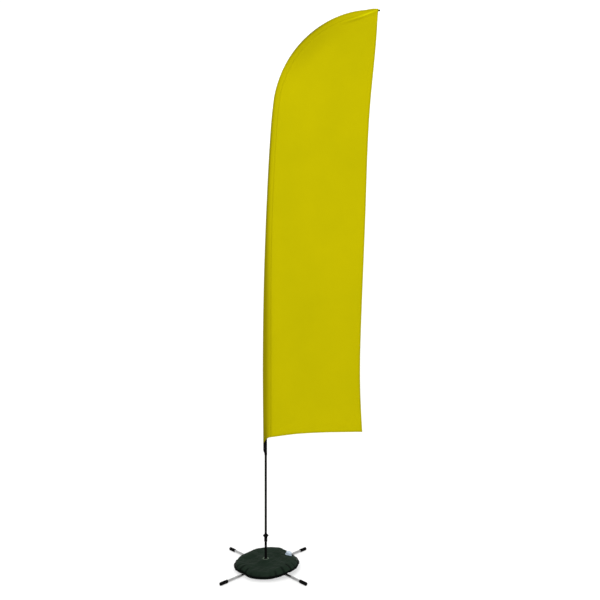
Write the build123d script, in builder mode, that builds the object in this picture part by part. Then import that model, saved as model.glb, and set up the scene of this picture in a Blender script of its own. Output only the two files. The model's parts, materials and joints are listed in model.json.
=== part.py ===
from build123d import *
import os
from math import cos, radians, sin

os.makedirs("parts", exist_ok=True)

# ---------------------------------------------------------------------------
# Driving dimensions, in millimetres and degrees
# Origin: on the pole's axis, on the floor under the hub. The flag flies towards +X.
# ---------------------------------------------------------------------------
RUNNING = 0.08  # radial clearance of a turning or sliding fit
CLOTH = 0.8  # thickness given to each layer of cloth

# Folding cross base
LEG_ANGLES = {"front_right": -45, "back_right": 45, "back_left": 135, "front_left": 225}
LEG_REACH = 465.0  # pole axis to the end of the foot
LEG_AXIS_Z = 13.0
LEG_R = 10.0
LEG_WALL = 1.5
FOOT_R = 13.0
FOOT_LENGTH = 70.0
FOOT_END = 5.0
PIVOT_R = 40.0  # pole axis to the hinge bolt
PIVOT_BOLT_R = 3.0
PIVOT_EAR_R = 9.0
TONGUE_WIDTH = 8.0
CLEVIS_GAP = 8.6
EAR_THICKNESS = 5.0
TUBE_START = 54.0
PLUG_LENGTH = 36.0
PAD_R = 28.0
PAD_T = 1.5
HUB_R = 30.5
HUB_TOP = 24.0
WASHER_R = 6.5
WASHER_T = 1.0
HEX_R = 5.8  # across the corners of the bolt heads and nuts
BOLT_HEAD_T = 4.0
NUT_T = 5.0

# Post and bearing housing
POST_R = 10.0
POST_FOOT_Z = 14.0
SOCKET_R = 15.0
SOCKET_TOP = 30.0
LOCK_RING_TOP = 36.0
POST_SCREW_R = 4.0
POST_SCREW_HEAD_R = 7.5
POST_SCREW_HEAD_Z = (2.5, 9.5)
POST_SCREW_TOP = 34.0
HOUSING_R = 13.0
HOUSING_FLOOR_Z = 206.0
HOUSING_TOP = 241.0
HOUSING_SPIGOT_R = 6.0
HOUSING_SPIGOT_TOP = 211.0
HOUSING_WELL_Z = 212.0
HOUSING_WELL_R = 7.0

# Two small ball bearings, 8 x 19 x 6
BEARING_BORE_R = 4.0
BEARING_R = 9.5
BEARING_WIDTH = 6.0
BEARING_FOOTS = (218.0, 231.0)
INNER_RING_R = 5.6
OUTER_RING_R = 7.9
BALL_R = 1.75
BALL_COUNT = 9
BALL_CIRCLE_R = 6.75
CIRCLIP_T = 1.0
SEAL_T = 2.4

# Spindle that turns in the bearings and carries the pole
SPINDLE_NECK_R = 5.6
FLANGE_Z = 241.5
FLANGE_EDGE_R = 22.5
FLANGE_EDGE_Z = (253.0, 256.0)
FLANGE_TOP_R = 10.5
POLE_FOOT_Z = 268.0
SPIGOT_R = 7.5 - RUNNING
SPIGOT_TOP = 443.0
SPIGOT_RING_Z = 300.0
SPIGOT_RING_R = 1.1

# Mast line: a straight run, then arcs of (length, turn) that lean it over towards +X
MAST_STRAIGHT = 1929.0
MAST_ARCS = ((1375.0, 4.1), (216.0, 3.4), (802.0, 53.6), (424.0, 32.1))
MAST_LENGTH = MAST_STRAIGHT + sum(length for length, turn in MAST_ARCS)

# Pole sections: (start along the mast, end, outer radius, bore radius)
BUSH_FLANGE_T = 3.0
SECTION_LAP = 100.0
SECTION_ENDS = (1240.0, 2430.0, 3620.0, MAST_LENGTH)
SECTION_RADII = ((9.5, 8.05), (8.0, 6.55), (6.5, 4.55), (4.5, 2.5))
BUSH_R = 7.5
BUSH_TOP = 328.0
COLLAR_LENGTH = 12.0
MOUTH_RING_LENGTH = 25.0
MOUTH_RING_WALL = 0.9
TIP_CAP_LENGTH = 14.0
TIP_CAP_R = 6.5
TIP_PLUG_LENGTH = 20.0

# Flag
SLEEVE_FOOT_Z = 1013.0
SLEEVE_R = 14.0
SLEEVE_TOP_R = 11.5
SLEEVE_FLATS = 32
POCKET_WIDTH = 40.0  # mast line to the sleeve's seam
SLEEVE_END = MAST_LENGTH - 2.0
TIP_WEBBING_LENGTH = 28.0
HEM_WIDTH = 12.0
HEM_T = 2 * CLOTH
# Back edge from the top down, and bottom edge from the sleeve out, as (x, z)
BACK_EDGE = ((898, 4278), (852, 3788), (812, 2938), (770, 1838), (766, 1528))
BACK_FOOT = (783, 1106)
CORNER = (784, 1094)
BOTTOM_EDGE = ((500, 1090), (230, 1075), (100, 1059))
BOTTOM_START = (POCKET_WIDTH, 1051)
SLEEVE_CUT = ((-40.0, 1003.0), (POCKET_WIDTH, 1051.0))  # slanted foot of the sleeve

# Cuff at the sleeve's foot, hooked to the pole
CUFF_FOOT_Z = 906.0
CUFF_TAPER_Z = 933.0
CUFF_FOOT_R = 10.9
STUD_Z = 921.0
STUD_R = 2.0
STUD_HEAD_R = 5.0
STUD_FACE_Y = 14.2
STUD_HEAD_T = 1.8
EYELET_R = 4.8
EYELET_BACK_Y = 10.4

# Water bag
BAG_R = 258.0
BAG_WALL = 1.2
BAG_SEAM_Z = 32.0
BAG_HOLE_R = 19.0
BAG_COLLAR_R = 34.0
BAG_COLLAR_Z = (66.0, 68.4)
BAG_TOP = ((60, 76), (120, 80), (180, 74), (225, 58))  # crown of the half section, as (radius, z)
BAG_BELLY_R = 240.0
BAG_BELLY_Z = 8.0
BAG_FLAT_R = (84.0, 215.0)  # inner and outer radius of the part that lies on the floor
BAG_WELL_R = (60.0, 66.0)  # hollow over the hub, at its top and near the floor
BAG_WELL_Z = 30.0
CHANNEL_R = LEG_R + 1.0
EYELET_BORE_R = 17.5
EYELET_FLANGE_R = 25.0
EYELET_T = 1.2

# Filler and its screw cap
FILLER_R = 195.0  # pole axis to the cap's axis
FILLER_ANGLE = 20.0
FILLER_Z = 69.6
FILLER_TILT = 15.0
NECK_R = 17.0
NECK_BORE_R = 14.0
NECK_TOP = 20.0
NECK_DEPTH = 8.0
NECK_FLANGE_R = 27.0
NECK_FLANGE_TOP = 3.0
CAP_R = 23.0
CAP_FOOT = 3.6
CAP_TOP = 25.0
CAP_ROOF = 3.0
CAP_BORE_R = 18.0
GASKET_T = 1.4


# ---------------------------------------------------------------------------
# Placing
# ---------------------------------------------------------------------------
def radial_plane(angle):
    """Upright plane through the axis: x runs outwards at this angle, y runs up."""
    a = radians(angle)
    return Plane(origin=(0, 0, 0), x_dir=(cos(a), sin(a), 0), z_dir=(sin(a), -cos(a), 0))


def leg_plane(angle, reach):
    """Plane across a leg, facing outwards, centred on the leg's axis."""
    a = radians(angle)
    return Plane(origin=(reach * cos(a), reach * sin(a), LEG_AXIS_Z), x_dir=(0, 0, 1), z_dir=(cos(a), sin(a), 0))


def mast_frame(run):
    """Point x, z and lean from the upright, in radians, at a distance along the mast line."""
    x, z, lean = 0.0, POLE_FOOT_Z + min(run, MAST_STRAIGHT), 0.0
    left = run - MAST_STRAIGHT
    for length, turn in MAST_ARCS:
        if left <= 0:
            break
        bend_r = length / radians(turn)
        end_lean = lean + min(left, length) / bend_r
        x += bend_r * (cos(lean) - cos(end_lean))
        z += bend_r * (sin(end_lean) - sin(lean))
        lean = end_lean
        left -= length
    return x, z, lean


def mast_point(run, inset=0.0):
    """Point (x, z) on the mast line, or on a line this far inside its bend."""
    x, z, lean = mast_frame(run)
    return x + inset * cos(lean), z - inset * sin(lean)


def mast_plane(run):
    """Plane across the mast line, facing along it, with x towards the flag."""
    x, z, lean = mast_frame(run)
    return Plane(origin=(x, 0, z), x_dir=(cos(lean), 0, -sin(lean)), z_dir=(sin(lean), 0, cos(lean)))


def draw_mast_line(start, end, inset=0.0):
    """Draw the mast line, or one inside its bend, in the open BuildLine."""
    joins = [MAST_STRAIGHT]
    for length, turn in MAST_ARCS:
        joins.append(joins[-1] + length)
    stops = [start] + [join for join in joins if start < join < end] + [end]
    for a, b in zip(stops, stops[1:]):
        if b <= MAST_STRAIGHT:
            Line(mast_point(a, inset), mast_point(b, inset))
        else:
            ThreePointArc(mast_point(a, inset), mast_point((a + b) / 2, inset), mast_point(b, inset))


def mast_tube(start, end, outer_r, bore_r):
    """Tube that follows the mast line between two distances along it."""
    with BuildPart() as tube:
        with BuildLine(Plane.XZ) as run:
            draw_mast_line(start, end)
        with BuildSketch(mast_plane(start)) as ring:
            Circle(outer_r)
            Circle(bore_r, mode=Mode.SUBTRACT)
        sweep()
    return tube


def turned(points):
    """Solid turned about the upright axis from a closed outline of (radius, z) points."""
    with BuildPart() as body:
        with BuildSketch(Plane.XZ) as outline:
            with BuildLine() as edge:
                Polyline(*points, close=True)
            make_face()
        revolve(axis=Axis.Z)
    return body


def ring(outer_r, bore_r, foot, top):
    """Plain ring about the upright axis."""
    return turned([(bore_r, foot), (outer_r, foot), (outer_r, top), (bore_r, top)])


def save(piece, name):
    """Label one finished piece and write it as a node of its own."""
    piece.part.label = name
    export_step(piece.part, f"parts/{name}.step")


# ---------------------------------------------------------------------------
# Cross base: hub, clevises and pivots
# ---------------------------------------------------------------------------
EAR_SIDE = CLEVIS_GAP / 2 + EAR_THICKNESS  # leg's middle plane to an ear's outer face

with BuildPart() as hub_casting:
    with BuildSketch(Plane.XY.offset(PAD_T)):
        Circle(HUB_R)
    extrude(amount=HUB_TOP - PAD_T)
    chamfer(hub_casting.faces().sort_by(Axis.Z)[-1].edges(), 2)
    for leg_angle in LEG_ANGLES.values():
        with BuildSketch(radial_plane(leg_angle)):
            with Locations((PIVOT_R, LEG_AXIS_Z)):
                Circle(PIVOT_EAR_R)
            with Locations(((PIVOT_R + HUB_R / 2) / 2, LEG_AXIS_Z)):
                Rectangle(PIVOT_R - HUB_R / 2, 2 * PIVOT_EAR_R)
        extrude(amount=EAR_SIDE, both=True)
    for leg_angle in LEG_ANGLES.values():
        with BuildSketch(radial_plane(leg_angle)):
            with Locations((HUB_R + PIVOT_EAR_R + 5, LEG_AXIS_Z)):
                Rectangle(2 * (PIVOT_EAR_R + 5), 3 * PIVOT_EAR_R)
        extrude(amount=CLEVIS_GAP / 2, both=True, mode=Mode.SUBTRACT)
        with BuildSketch(radial_plane(leg_angle)):
            with Locations((PIVOT_R, LEG_AXIS_Z)):
                Circle(PIVOT_BOLT_R)
        extrude(amount=2 * EAR_SIDE, both=True, mode=Mode.SUBTRACT)
    with BuildSketch(Plane.XY.offset(HUB_TOP)):
        Circle(SOCKET_R)
    extrude(amount=SOCKET_TOP - HUB_TOP)
    with BuildSketch(Plane.XY.offset(POST_FOOT_Z)):
        Circle(POST_R)
    extrude(amount=SOCKET_TOP - POST_FOOT_Z, mode=Mode.SUBTRACT)
    with BuildSketch(Plane.XY):
        Circle(POST_SCREW_R)
    extrude(amount=POST_FOOT_Z, mode=Mode.SUBTRACT)
    with BuildSketch(Plane.XY):
        Circle(POST_SCREW_HEAD_R)
    extrude(amount=POST_SCREW_HEAD_Z[1], mode=Mode.SUBTRACT)
save(hub_casting, "hub_casting")

with BuildPart() as hub_pad:
    with BuildSketch(Plane.XY):
        Circle(PAD_R)
    extrude(amount=PAD_T)
save(hub_pad, "hub_pad")


with BuildPart() as leg_pivot_bolts:
    for leg_angle in LEG_ANGLES.values():
        with BuildSketch(radial_plane(leg_angle).offset(-EAR_SIDE - BOLT_HEAD_T)):
            with Locations((PIVOT_R, LEG_AXIS_Z)):
                RegularPolygon(HEX_R, 6)
        extrude(amount=BOLT_HEAD_T)
        with BuildSketch(radial_plane(leg_angle).offset(-EAR_SIDE)):
            with Locations((PIVOT_R, LEG_AXIS_Z)):
                Circle(PIVOT_BOLT_R)
        extrude(amount=2 * EAR_SIDE + WASHER_T + NUT_T + 1)
save(leg_pivot_bolts, "leg_pivot_bolts")

with BuildPart() as leg_pivot_washers:
    for leg_angle in LEG_ANGLES.values():
        with BuildSketch(radial_plane(leg_angle).offset(EAR_SIDE)):
            with Locations((PIVOT_R, LEG_AXIS_Z)):
                Circle(WASHER_R)
                Circle(PIVOT_BOLT_R, mode=Mode.SUBTRACT)
        extrude(amount=WASHER_T)
save(leg_pivot_washers, "leg_pivot_washers")

with BuildPart() as leg_pivot_nuts:
    for leg_angle in LEG_ANGLES.values():
        with BuildSketch(radial_plane(leg_angle).offset(EAR_SIDE + WASHER_T)):
            with Locations((PIVOT_R, LEG_AXIS_Z)):
                RegularPolygon(HEX_R, 6)
                Circle(PIVOT_BOLT_R, mode=Mode.SUBTRACT)
        extrude(amount=NUT_T)
save(leg_pivot_nuts, "leg_pivot_nuts")

# ---------------------------------------------------------------------------
# Four folding legs: tongue, tube and rubber foot
# ---------------------------------------------------------------------------
TUBE_END = LEG_REACH - FOOT_END

for leg_name, leg_angle in LEG_ANGLES.items():
    with BuildPart() as tongue:
        with BuildSketch(radial_plane(leg_angle)):
            with Locations((PIVOT_R, LEG_AXIS_Z)):
                Circle(PIVOT_EAR_R)
            with Locations(((PIVOT_R + TUBE_START) / 2, LEG_AXIS_Z)):
                Rectangle(TUBE_START - PIVOT_R, 2 * PIVOT_EAR_R)
            # Square heel that meets the hub and stops the leg at level
            with Locations((PIVOT_R - PIVOT_EAR_R / 2, LEG_AXIS_Z + PIVOT_EAR_R / 2)):
                Rectangle(PIVOT_EAR_R, PIVOT_EAR_R)
        extrude(amount=TONGUE_WIDTH / 2, both=True)
        with BuildSketch(leg_plane(leg_angle, TUBE_START)):
            Circle(LEG_R - LEG_WALL)
        extrude(amount=PLUG_LENGTH)
        with BuildSketch(radial_plane(leg_angle)):
            with Locations((PIVOT_R, LEG_AXIS_Z)):
                Circle(PIVOT_BOLT_R + RUNNING)
        extrude(amount=TONGUE_WIDTH, both=True, mode=Mode.SUBTRACT)
    save(tongue, f"leg_tongue_{leg_name}")

    with BuildPart() as tube:
        with BuildSketch(leg_plane(leg_angle, TUBE_START)):
            Circle(LEG_R)
            Circle(LEG_R - LEG_WALL, mode=Mode.SUBTRACT)
        extrude(amount=TUBE_END - TUBE_START)
    save(tube, f"leg_tube_{leg_name}")

    with BuildPart() as foot:
        with BuildSketch(leg_plane(leg_angle, LEG_REACH - FOOT_LENGTH)):
            Circle(FOOT_R)
        extrude(amount=FOOT_LENGTH)
        fillet(foot.edges().filter_by(GeomType.CIRCLE), 2.5)
        with BuildSketch(leg_plane(leg_angle, LEG_REACH - FOOT_LENGTH)):
            Circle(LEG_R)
        extrude(amount=FOOT_LENGTH - FOOT_END, mode=Mode.SUBTRACT)
    save(foot, f"leg_foot_{leg_name}")

# ---------------------------------------------------------------------------
# Post, its screw and the bearing housing
# ---------------------------------------------------------------------------
base_post = turned([
    (0, POST_SCREW_TOP + 2), (POST_SCREW_R, POST_SCREW_TOP), (POST_SCREW_R, POST_FOOT_Z), (POST_R, POST_FOOT_Z),
    (POST_R, HOUSING_FLOOR_Z), (HOUSING_SPIGOT_R, HOUSING_FLOOR_Z), (HOUSING_SPIGOT_R, HOUSING_SPIGOT_TOP),
    (0, HOUSING_SPIGOT_TOP),
])
save(base_post, "base_post")

post_screw = turned([
    (0, POST_SCREW_HEAD_Z[0]), (POST_SCREW_HEAD_R, POST_SCREW_HEAD_Z[0]), (POST_SCREW_HEAD_R, POST_SCREW_HEAD_Z[1]),
    (POST_SCREW_R, POST_SCREW_HEAD_Z[1]), (POST_SCREW_R, POST_SCREW_TOP), (0, POST_SCREW_TOP),
])
save(post_screw, "post_screw")

with BuildPart() as post_lock_ring:
    with BuildSketch(Plane.XY.offset(SOCKET_TOP)):
        RegularPolygon(SOCKET_R, 6)
        Circle(POST_R, mode=Mode.SUBTRACT)
    extrude(amount=LOCK_RING_TOP - SOCKET_TOP)
save(post_lock_ring, "post_lock_ring")

CIRCLIP_Z = BEARING_FOOTS[1] + BEARING_WIDTH
SEAL_Z = CIRCLIP_Z + CIRCLIP_T
bearing_housing = turned([
    (HOUSING_SPIGOT_R, HOUSING_FLOOR_Z), (HOUSING_R - 2, HOUSING_FLOOR_Z), (HOUSING_R, HOUSING_FLOOR_Z + 2),
    (HOUSING_R, HOUSING_TOP), (BEARING_R, HOUSING_TOP), (BEARING_R, SEAL_Z), (BEARING_R + 1, SEAL_Z),
    (BEARING_R + 1, CIRCLIP_Z), (BEARING_R, CIRCLIP_Z), (BEARING_R, BEARING_FOOTS[0]),
    (HOUSING_WELL_R, BEARING_FOOTS[0]), (HOUSING_WELL_R, HOUSING_WELL_Z), (0, HOUSING_WELL_Z),
    (0, HOUSING_SPIGOT_TOP), (HOUSING_SPIGOT_R, HOUSING_SPIGOT_TOP),
])
save(bearing_housing, "bearing_housing")

housing_circlip = ring(BEARING_R + 1, OUTER_RING_R, CIRCLIP_Z, SEAL_Z)
save(housing_circlip, "housing_circlip")

shaft_seal = ring(BEARING_R, SPINDLE_NECK_R + RUNNING, SEAL_Z + 0.2, SEAL_Z + 0.2 + SEAL_T)
save(shaft_seal, "shaft_seal")


def bearing_rings(outer_r, bore_r, groove_r):
    """The same ring of both bearings, with the balls' groove cut in it."""
    with BuildPart() as pair:
        for foot in BEARING_FOOTS:
            with BuildSketch(Plane.XZ):
                with Locations(((outer_r + bore_r) / 2, foot + BEARING_WIDTH / 2)):
                    Rectangle(outer_r - bore_r, BEARING_WIDTH)
                with Locations((BALL_CIRCLE_R, foot + BEARING_WIDTH / 2)):
                    Circle(groove_r, mode=Mode.SUBTRACT)
            revolve(axis=Axis.Z)
    return pair


bearing_outer_rings = bearing_rings(BEARING_R, OUTER_RING_R, BALL_R + RUNNING)
save(bearing_outer_rings, "bearing_outer_rings")

bearing_inner_rings = bearing_rings(INNER_RING_R, BEARING_BORE_R, BALL_R)
save(bearing_inner_rings, "bearing_inner_rings")

with BuildPart() as bearing_balls:
    for bearing_foot in BEARING_FOOTS:
        with Locations(Plane.XY.offset(bearing_foot + BEARING_WIDTH / 2)):
            with PolarLocations(BALL_CIRCLE_R, BALL_COUNT):
                Sphere(BALL_R)
save(bearing_balls, "bearing_balls")

SPACER_FOOT = BEARING_FOOTS[0] + BEARING_WIDTH
bearing_outer_spacer = ring(BEARING_R, OUTER_RING_R, SPACER_FOOT, BEARING_FOOTS[1])
save(bearing_outer_spacer, "bearing_outer_spacer")

bearing_inner_spacer = ring(INNER_RING_R, BEARING_BORE_R, SPACER_FOOT, BEARING_FOOTS[1])
save(bearing_inner_spacer, "bearing_inner_spacer")

# ---------------------------------------------------------------------------
# Spindle
# ---------------------------------------------------------------------------
RETAINER_R = 1.8
RETAINER_HEAD_R = 5.2
RETAINER_HEAD_T = 3.0
RETAINER_TOP = BEARING_FOOTS[0] + 12
GROOVE_HALF = SPIGOT_RING_R + 0.2
GROOVE_R = BUSH_R - RUNNING / 2 - 2 * SPIGOT_RING_R

spindle_shaft = turned([
    (RETAINER_R, BEARING_FOOTS[0]), (BEARING_BORE_R, BEARING_FOOTS[0]), (BEARING_BORE_R, CIRCLIP_Z),
    (SPINDLE_NECK_R, CIRCLIP_Z), (SPINDLE_NECK_R, FLANGE_Z), (HOUSING_R, FLANGE_Z),
    (FLANGE_EDGE_R, FLANGE_EDGE_Z[0]), (FLANGE_EDGE_R, FLANGE_EDGE_Z[1]), (FLANGE_TOP_R, POLE_FOOT_Z),
    (SPIGOT_R, POLE_FOOT_Z), (SPIGOT_R, SPIGOT_RING_Z - GROOVE_HALF), (GROOVE_R, SPIGOT_RING_Z - GROOVE_HALF),
    (GROOVE_R, SPIGOT_RING_Z + GROOVE_HALF), (SPIGOT_R, SPIGOT_RING_Z + GROOVE_HALF), (SPIGOT_R, SPIGOT_TOP - 3),
    (SPIGOT_R - 3, SPIGOT_TOP), (0, SPIGOT_TOP), (0, RETAINER_TOP), (RETAINER_R, RETAINER_TOP),
])
save(spindle_shaft, "spindle_shaft")

spindle_retaining_screw = turned([
    (0, BEARING_FOOTS[0] - RETAINER_HEAD_T), (RETAINER_HEAD_R, BEARING_FOOTS[0] - RETAINER_HEAD_T),
    (RETAINER_HEAD_R, BEARING_FOOTS[0]), (RETAINER_R, BEARING_FOOTS[0]), (RETAINER_R, RETAINER_TOP - 1),
    (0, RETAINER_TOP - 1),
])
save(spindle_retaining_screw, "spindle_retaining_screw")

with BuildPart() as spigot_ring:
    with BuildSketch(Plane.XZ):
        with Locations((GROOVE_R + SPIGOT_RING_R, SPIGOT_RING_Z)):
            Circle(SPIGOT_RING_R)
    revolve(axis=Axis.Z)
save(spigot_ring, "spigot_ring")

# ---------------------------------------------------------------------------
# Pole in four sections
# ---------------------------------------------------------------------------
section_start = BUSH_FLANGE_T
for number, (section_end, (section_r, section_bore)) in enumerate(zip(SECTION_ENDS, SECTION_RADII), 1):
    with BuildPart() as section:
        add(mast_tube(section_start, section_end, section_r, section_bore).part)
        if number == 1:
            with BuildSketch(Plane.XZ):
                with Locations((0, STUD_Z)):
                    Circle(STUD_R)
            extrude(amount=2 * section_r, mode=Mode.SUBTRACT)
    save(section, f"pole_section_{number}")
    section_start = section_end - SECTION_LAP

with BuildPart() as pole_stop_collars:
    for mouth, (lower_r, lower_bore), (upper_r, upper_bore) in zip(SECTION_ENDS, SECTION_RADII, SECTION_RADII[1:]):
        add(mast_tube(mouth, mouth + COLLAR_LENGTH, lower_r, upper_r).part)
save(pole_stop_collars, "pole_stop_collars")

with BuildPart() as pole_mouth_rings:
    for mouth, (lower_r, lower_bore) in zip(SECTION_ENDS[:-1], SECTION_RADII):
        add(mast_tube(mouth - MOUTH_RING_LENGTH, mouth, lower_r + MOUTH_RING_WALL, lower_r).part)
save(pole_mouth_rings, "pole_mouth_rings")

pole_end_bush = turned([
    (BUSH_R, POLE_FOOT_Z), (SECTION_RADII[0][0], POLE_FOOT_Z), (SECTION_RADII[0][0], POLE_FOOT_Z + BUSH_FLANGE_T),
    (SECTION_RADII[0][1], POLE_FOOT_Z + BUSH_FLANGE_T), (SECTION_RADII[0][1], BUSH_TOP), (BUSH_R, BUSH_TOP),
])
save(pole_end_bush, "pole_end_bush")

with BuildPart() as pole_tip_cap:
    with BuildSketch(mast_plane(MAST_LENGTH)):
        Circle(TIP_CAP_R)
    extrude(amount=TIP_CAP_LENGTH)
    fillet(pole_tip_cap.edges().filter_by(GeomType.CIRCLE).sort_by(Axis.X)[-1], 4)
    with BuildLine(Plane.XZ):
        draw_mast_line(MAST_LENGTH - TIP_PLUG_LENGTH, MAST_LENGTH)
    with BuildSketch(mast_plane(MAST_LENGTH - TIP_PLUG_LENGTH)):
        Circle(SECTION_RADII[-1][1])
    sweep()
save(pole_tip_cap, "pole_tip_cap")

# ---------------------------------------------------------------------------
# Flag: sleeve round the pole, panel, hems
# ---------------------------------------------------------------------------
FOOT_RUN = SLEEVE_FOOT_Z - POLE_FOOT_Z
HEM_TOP_RUN = SLEEVE_END - HEM_WIDTH


def sleeve_round(shrink):
    """Round part of the sleeve: a long taper on the straight run, then an even tube over the bend.
    It is drawn with flats, because the faces of so long and thin a wall then stay true when meshed."""
    with BuildPart() as body:
        with BuildSketch(mast_plane(FOOT_RUN)):
            RegularPolygon(SLEEVE_R - shrink, SLEEVE_FLATS)
        with BuildSketch(mast_plane(MAST_STRAIGHT)):
            RegularPolygon(SLEEVE_TOP_R - shrink, SLEEVE_FLATS)
        loft(ruled=True)
        with BuildLine(Plane.XZ):
            draw_mast_line(MAST_STRAIGHT, SLEEVE_END)
        with BuildSketch(mast_plane(MAST_STRAIGHT)):
            RegularPolygon(SLEEVE_TOP_R - shrink, SLEEVE_FLATS)
        sweep()
    return body


with BuildPart() as pole_sleeve:
    add(sleeve_round(0).part)
    with BuildSketch(Plane.XZ):
        with BuildLine():
            draw_mast_line(FOOT_RUN, SLEEVE_END, POCKET_WIDTH)
            Line(mast_point(SLEEVE_END, POCKET_WIDTH), mast_point(SLEEVE_END))
            draw_mast_line(FOOT_RUN, SLEEVE_END)
            Line(mast_point(FOOT_RUN), mast_point(FOOT_RUN, POCKET_WIDTH))
        make_face()
    extrude(amount=HEM_T / 2, both=True)
    add(sleeve_round(CLOTH).part, mode=Mode.SUBTRACT)
    with BuildSketch(Plane.XZ):
        with BuildLine():
            Polyline(SLEEVE_CUT[0], SLEEVE_CUT[1], (SLEEVE_CUT[1][0] + 1, SLEEVE_CUT[1][1]),
                     (SLEEVE_CUT[1][0] + 1, 900), (SLEEVE_CUT[0][0], 900), close=True)
        make_face()
    extrude(amount=3 * SLEEVE_R, both=True, mode=Mode.SUBTRACT)
save(pole_sleeve, "pole_sleeve")

hem_top_inner = mast_point(HEM_TOP_RUN, POCKET_WIDTH)
back_inner = [(x - HEM_WIDTH, z) for x, z in BACK_EDGE]
back_foot_inner = (BACK_FOOT[0] - HEM_WIDTH, BACK_FOOT[1])
bottom_inner = [(x, z + HEM_WIDTH) for x, z in BOTTOM_EDGE]
bottom_start_inner = (BOTTOM_START[0], BOTTOM_START[1] + HEM_WIDTH)

with BuildPart() as flag_panel:
    with BuildSketch(Plane.XZ):
        with BuildLine():
            draw_mast_line(bottom_start_inner[1] - POLE_FOOT_Z, HEM_TOP_RUN, POCKET_WIDTH)
            Spline(hem_top_inner, *back_inner, back_foot_inner)
            Spline(back_foot_inner, *bottom_inner, bottom_start_inner)
        make_face()
    extrude(amount=CLOTH / 2, both=True)
save(flag_panel, "flag_panel")

with BuildPart() as back_hem:
    with BuildSketch(Plane.XZ):
        with BuildLine():
            draw_mast_line(HEM_TOP_RUN, SLEEVE_END, POCKET_WIDTH)
            Spline(mast_point(SLEEVE_END, POCKET_WIDTH), *BACK_EDGE, BACK_FOOT)
            Line(BACK_FOOT, back_foot_inner)
            Spline(hem_top_inner, *back_inner, back_foot_inner)
        make_face()
    extrude(amount=HEM_T / 2, both=True)
save(back_hem, "back_hem")

with BuildPart() as bottom_hem:
    with BuildSketch(Plane.XZ):
        with BuildLine():
            Spline(back_foot_inner, *bottom_inner, bottom_start_inner)
            Line(bottom_start_inner, BOTTOM_START)
            Spline(BOTTOM_START, *reversed(BOTTOM_EDGE), CORNER)
            Line(CORNER, BACK_FOOT)
            Line(BACK_FOOT, back_foot_inner)
        make_face()
    extrude(amount=HEM_T / 2, both=True)
save(bottom_hem, "bottom_hem")

TIP_WEBBING_R = (SLEEVE_TOP_R - CLOTH) * cos(radians(180 / SLEEVE_FLATS))  # to the sleeve's flats
tip_webbing = mast_tube(SLEEVE_END - TIP_WEBBING_LENGTH, SLEEVE_END, TIP_WEBBING_R - 0.02, SECTION_RADII[-1][0])
save(tip_webbing, "tip_webbing")

# ---------------------------------------------------------------------------
# Cuff that ties the sleeve's foot to the pole
# ---------------------------------------------------------------------------
with BuildPart() as sleeve_cuff:
    add(turned([
        (CUFF_FOOT_R, CUFF_FOOT_Z), (SLEEVE_R, CUFF_TAPER_Z), (SLEEVE_R, SLEEVE_CUT[1][1]),
        (SLEEVE_R - CLOTH, SLEEVE_CUT[1][1]), (SLEEVE_R - CLOTH, CUFF_TAPER_Z), (CUFF_FOOT_R - CLOTH, CUFF_FOOT_Z),
    ]).part)
    with BuildSketch(Plane.XZ):
        with BuildLine():
            Polyline(SLEEVE_CUT[0], SLEEVE_CUT[1], (SLEEVE_CUT[1][0], 1100), (SLEEVE_CUT[0][0], 1100), close=True)
        make_face()
    extrude(amount=3 * SLEEVE_R, both=True, mode=Mode.SUBTRACT)
    with BuildSketch(Plane.XZ):
        with Locations((0, STUD_Z)):
            Circle(EYELET_R)
    extrude(amount=2 * SLEEVE_R, mode=Mode.SUBTRACT)
save(sleeve_cuff, "sleeve_cuff")

with BuildPart() as cuff_eyelet:
    with BuildSketch(Plane.XZ.offset(EYELET_BACK_Y)):
        with Locations((0, STUD_Z)):
            Circle(EYELET_R)
            Circle(STUD_R + 0.2, mode=Mode.SUBTRACT)
    extrude(amount=STUD_FACE_Y - EYELET_BACK_Y)
save(cuff_eyelet, "cuff_eyelet")

with BuildPart() as cuff_stud:
    with BuildSketch(Plane.XZ.offset(SECTION_RADII[0][1] - 1)):
        with Locations((0, STUD_Z)):
            Circle(STUD_R)
    extrude(amount=STUD_FACE_Y - SECTION_RADII[0][1] + 1)
    with BuildSketch(Plane.XZ.offset(STUD_FACE_Y)):
        with Locations((0, STUD_Z)):
            Circle(STUD_HEAD_R)
    extrude(amount=STUD_HEAD_T)
    fillet(cuff_stud.faces().sort_by(Axis.Y)[0].edges(), 0.8)
save(cuff_stud, "cuff_stud")

# ---------------------------------------------------------------------------
# Water bag: two welded panels with channels for the legs, filled with water
# ---------------------------------------------------------------------------
RIM_FLANGE_R = BAG_R - 8

COLLAR_WELD_Z = sum(BAG_COLLAR_Z) / 2


def bag_outline(wall):
    """Half section of the bag between its two welds, drawn this far inside the skin, in the open BuildLine."""
    collar_top = (BAG_COLLAR_R, BAG_COLLAR_Z[1] - wall)
    rim_top = (RIM_FLANGE_R, BAG_SEAM_Z + BAG_WALL - wall)
    rim_foot = (RIM_FLANGE_R, BAG_SEAM_Z - BAG_WALL + wall)
    Spline(collar_top, *[(r, z - wall) for r, z in BAG_TOP], rim_top)
    Spline(rim_foot, (BAG_BELLY_R - wall, BAG_BELLY_Z + wall / 2), (BAG_FLAT_R[1], wall),
           tangents=((-0.1, -1), (-1, 0)))
    Polyline((BAG_FLAT_R[1], wall), (BAG_FLAT_R[0] + wall / 2, wall), (BAG_WELL_R[1] + wall, BAG_BELLY_Z + wall / 2),
             (BAG_WELL_R[0] + wall, BAG_WELL_Z + wall), (BAG_COLLAR_R, BAG_COLLAR_Z[0] + wall))
    return collar_top, rim_top, rim_foot


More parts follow.
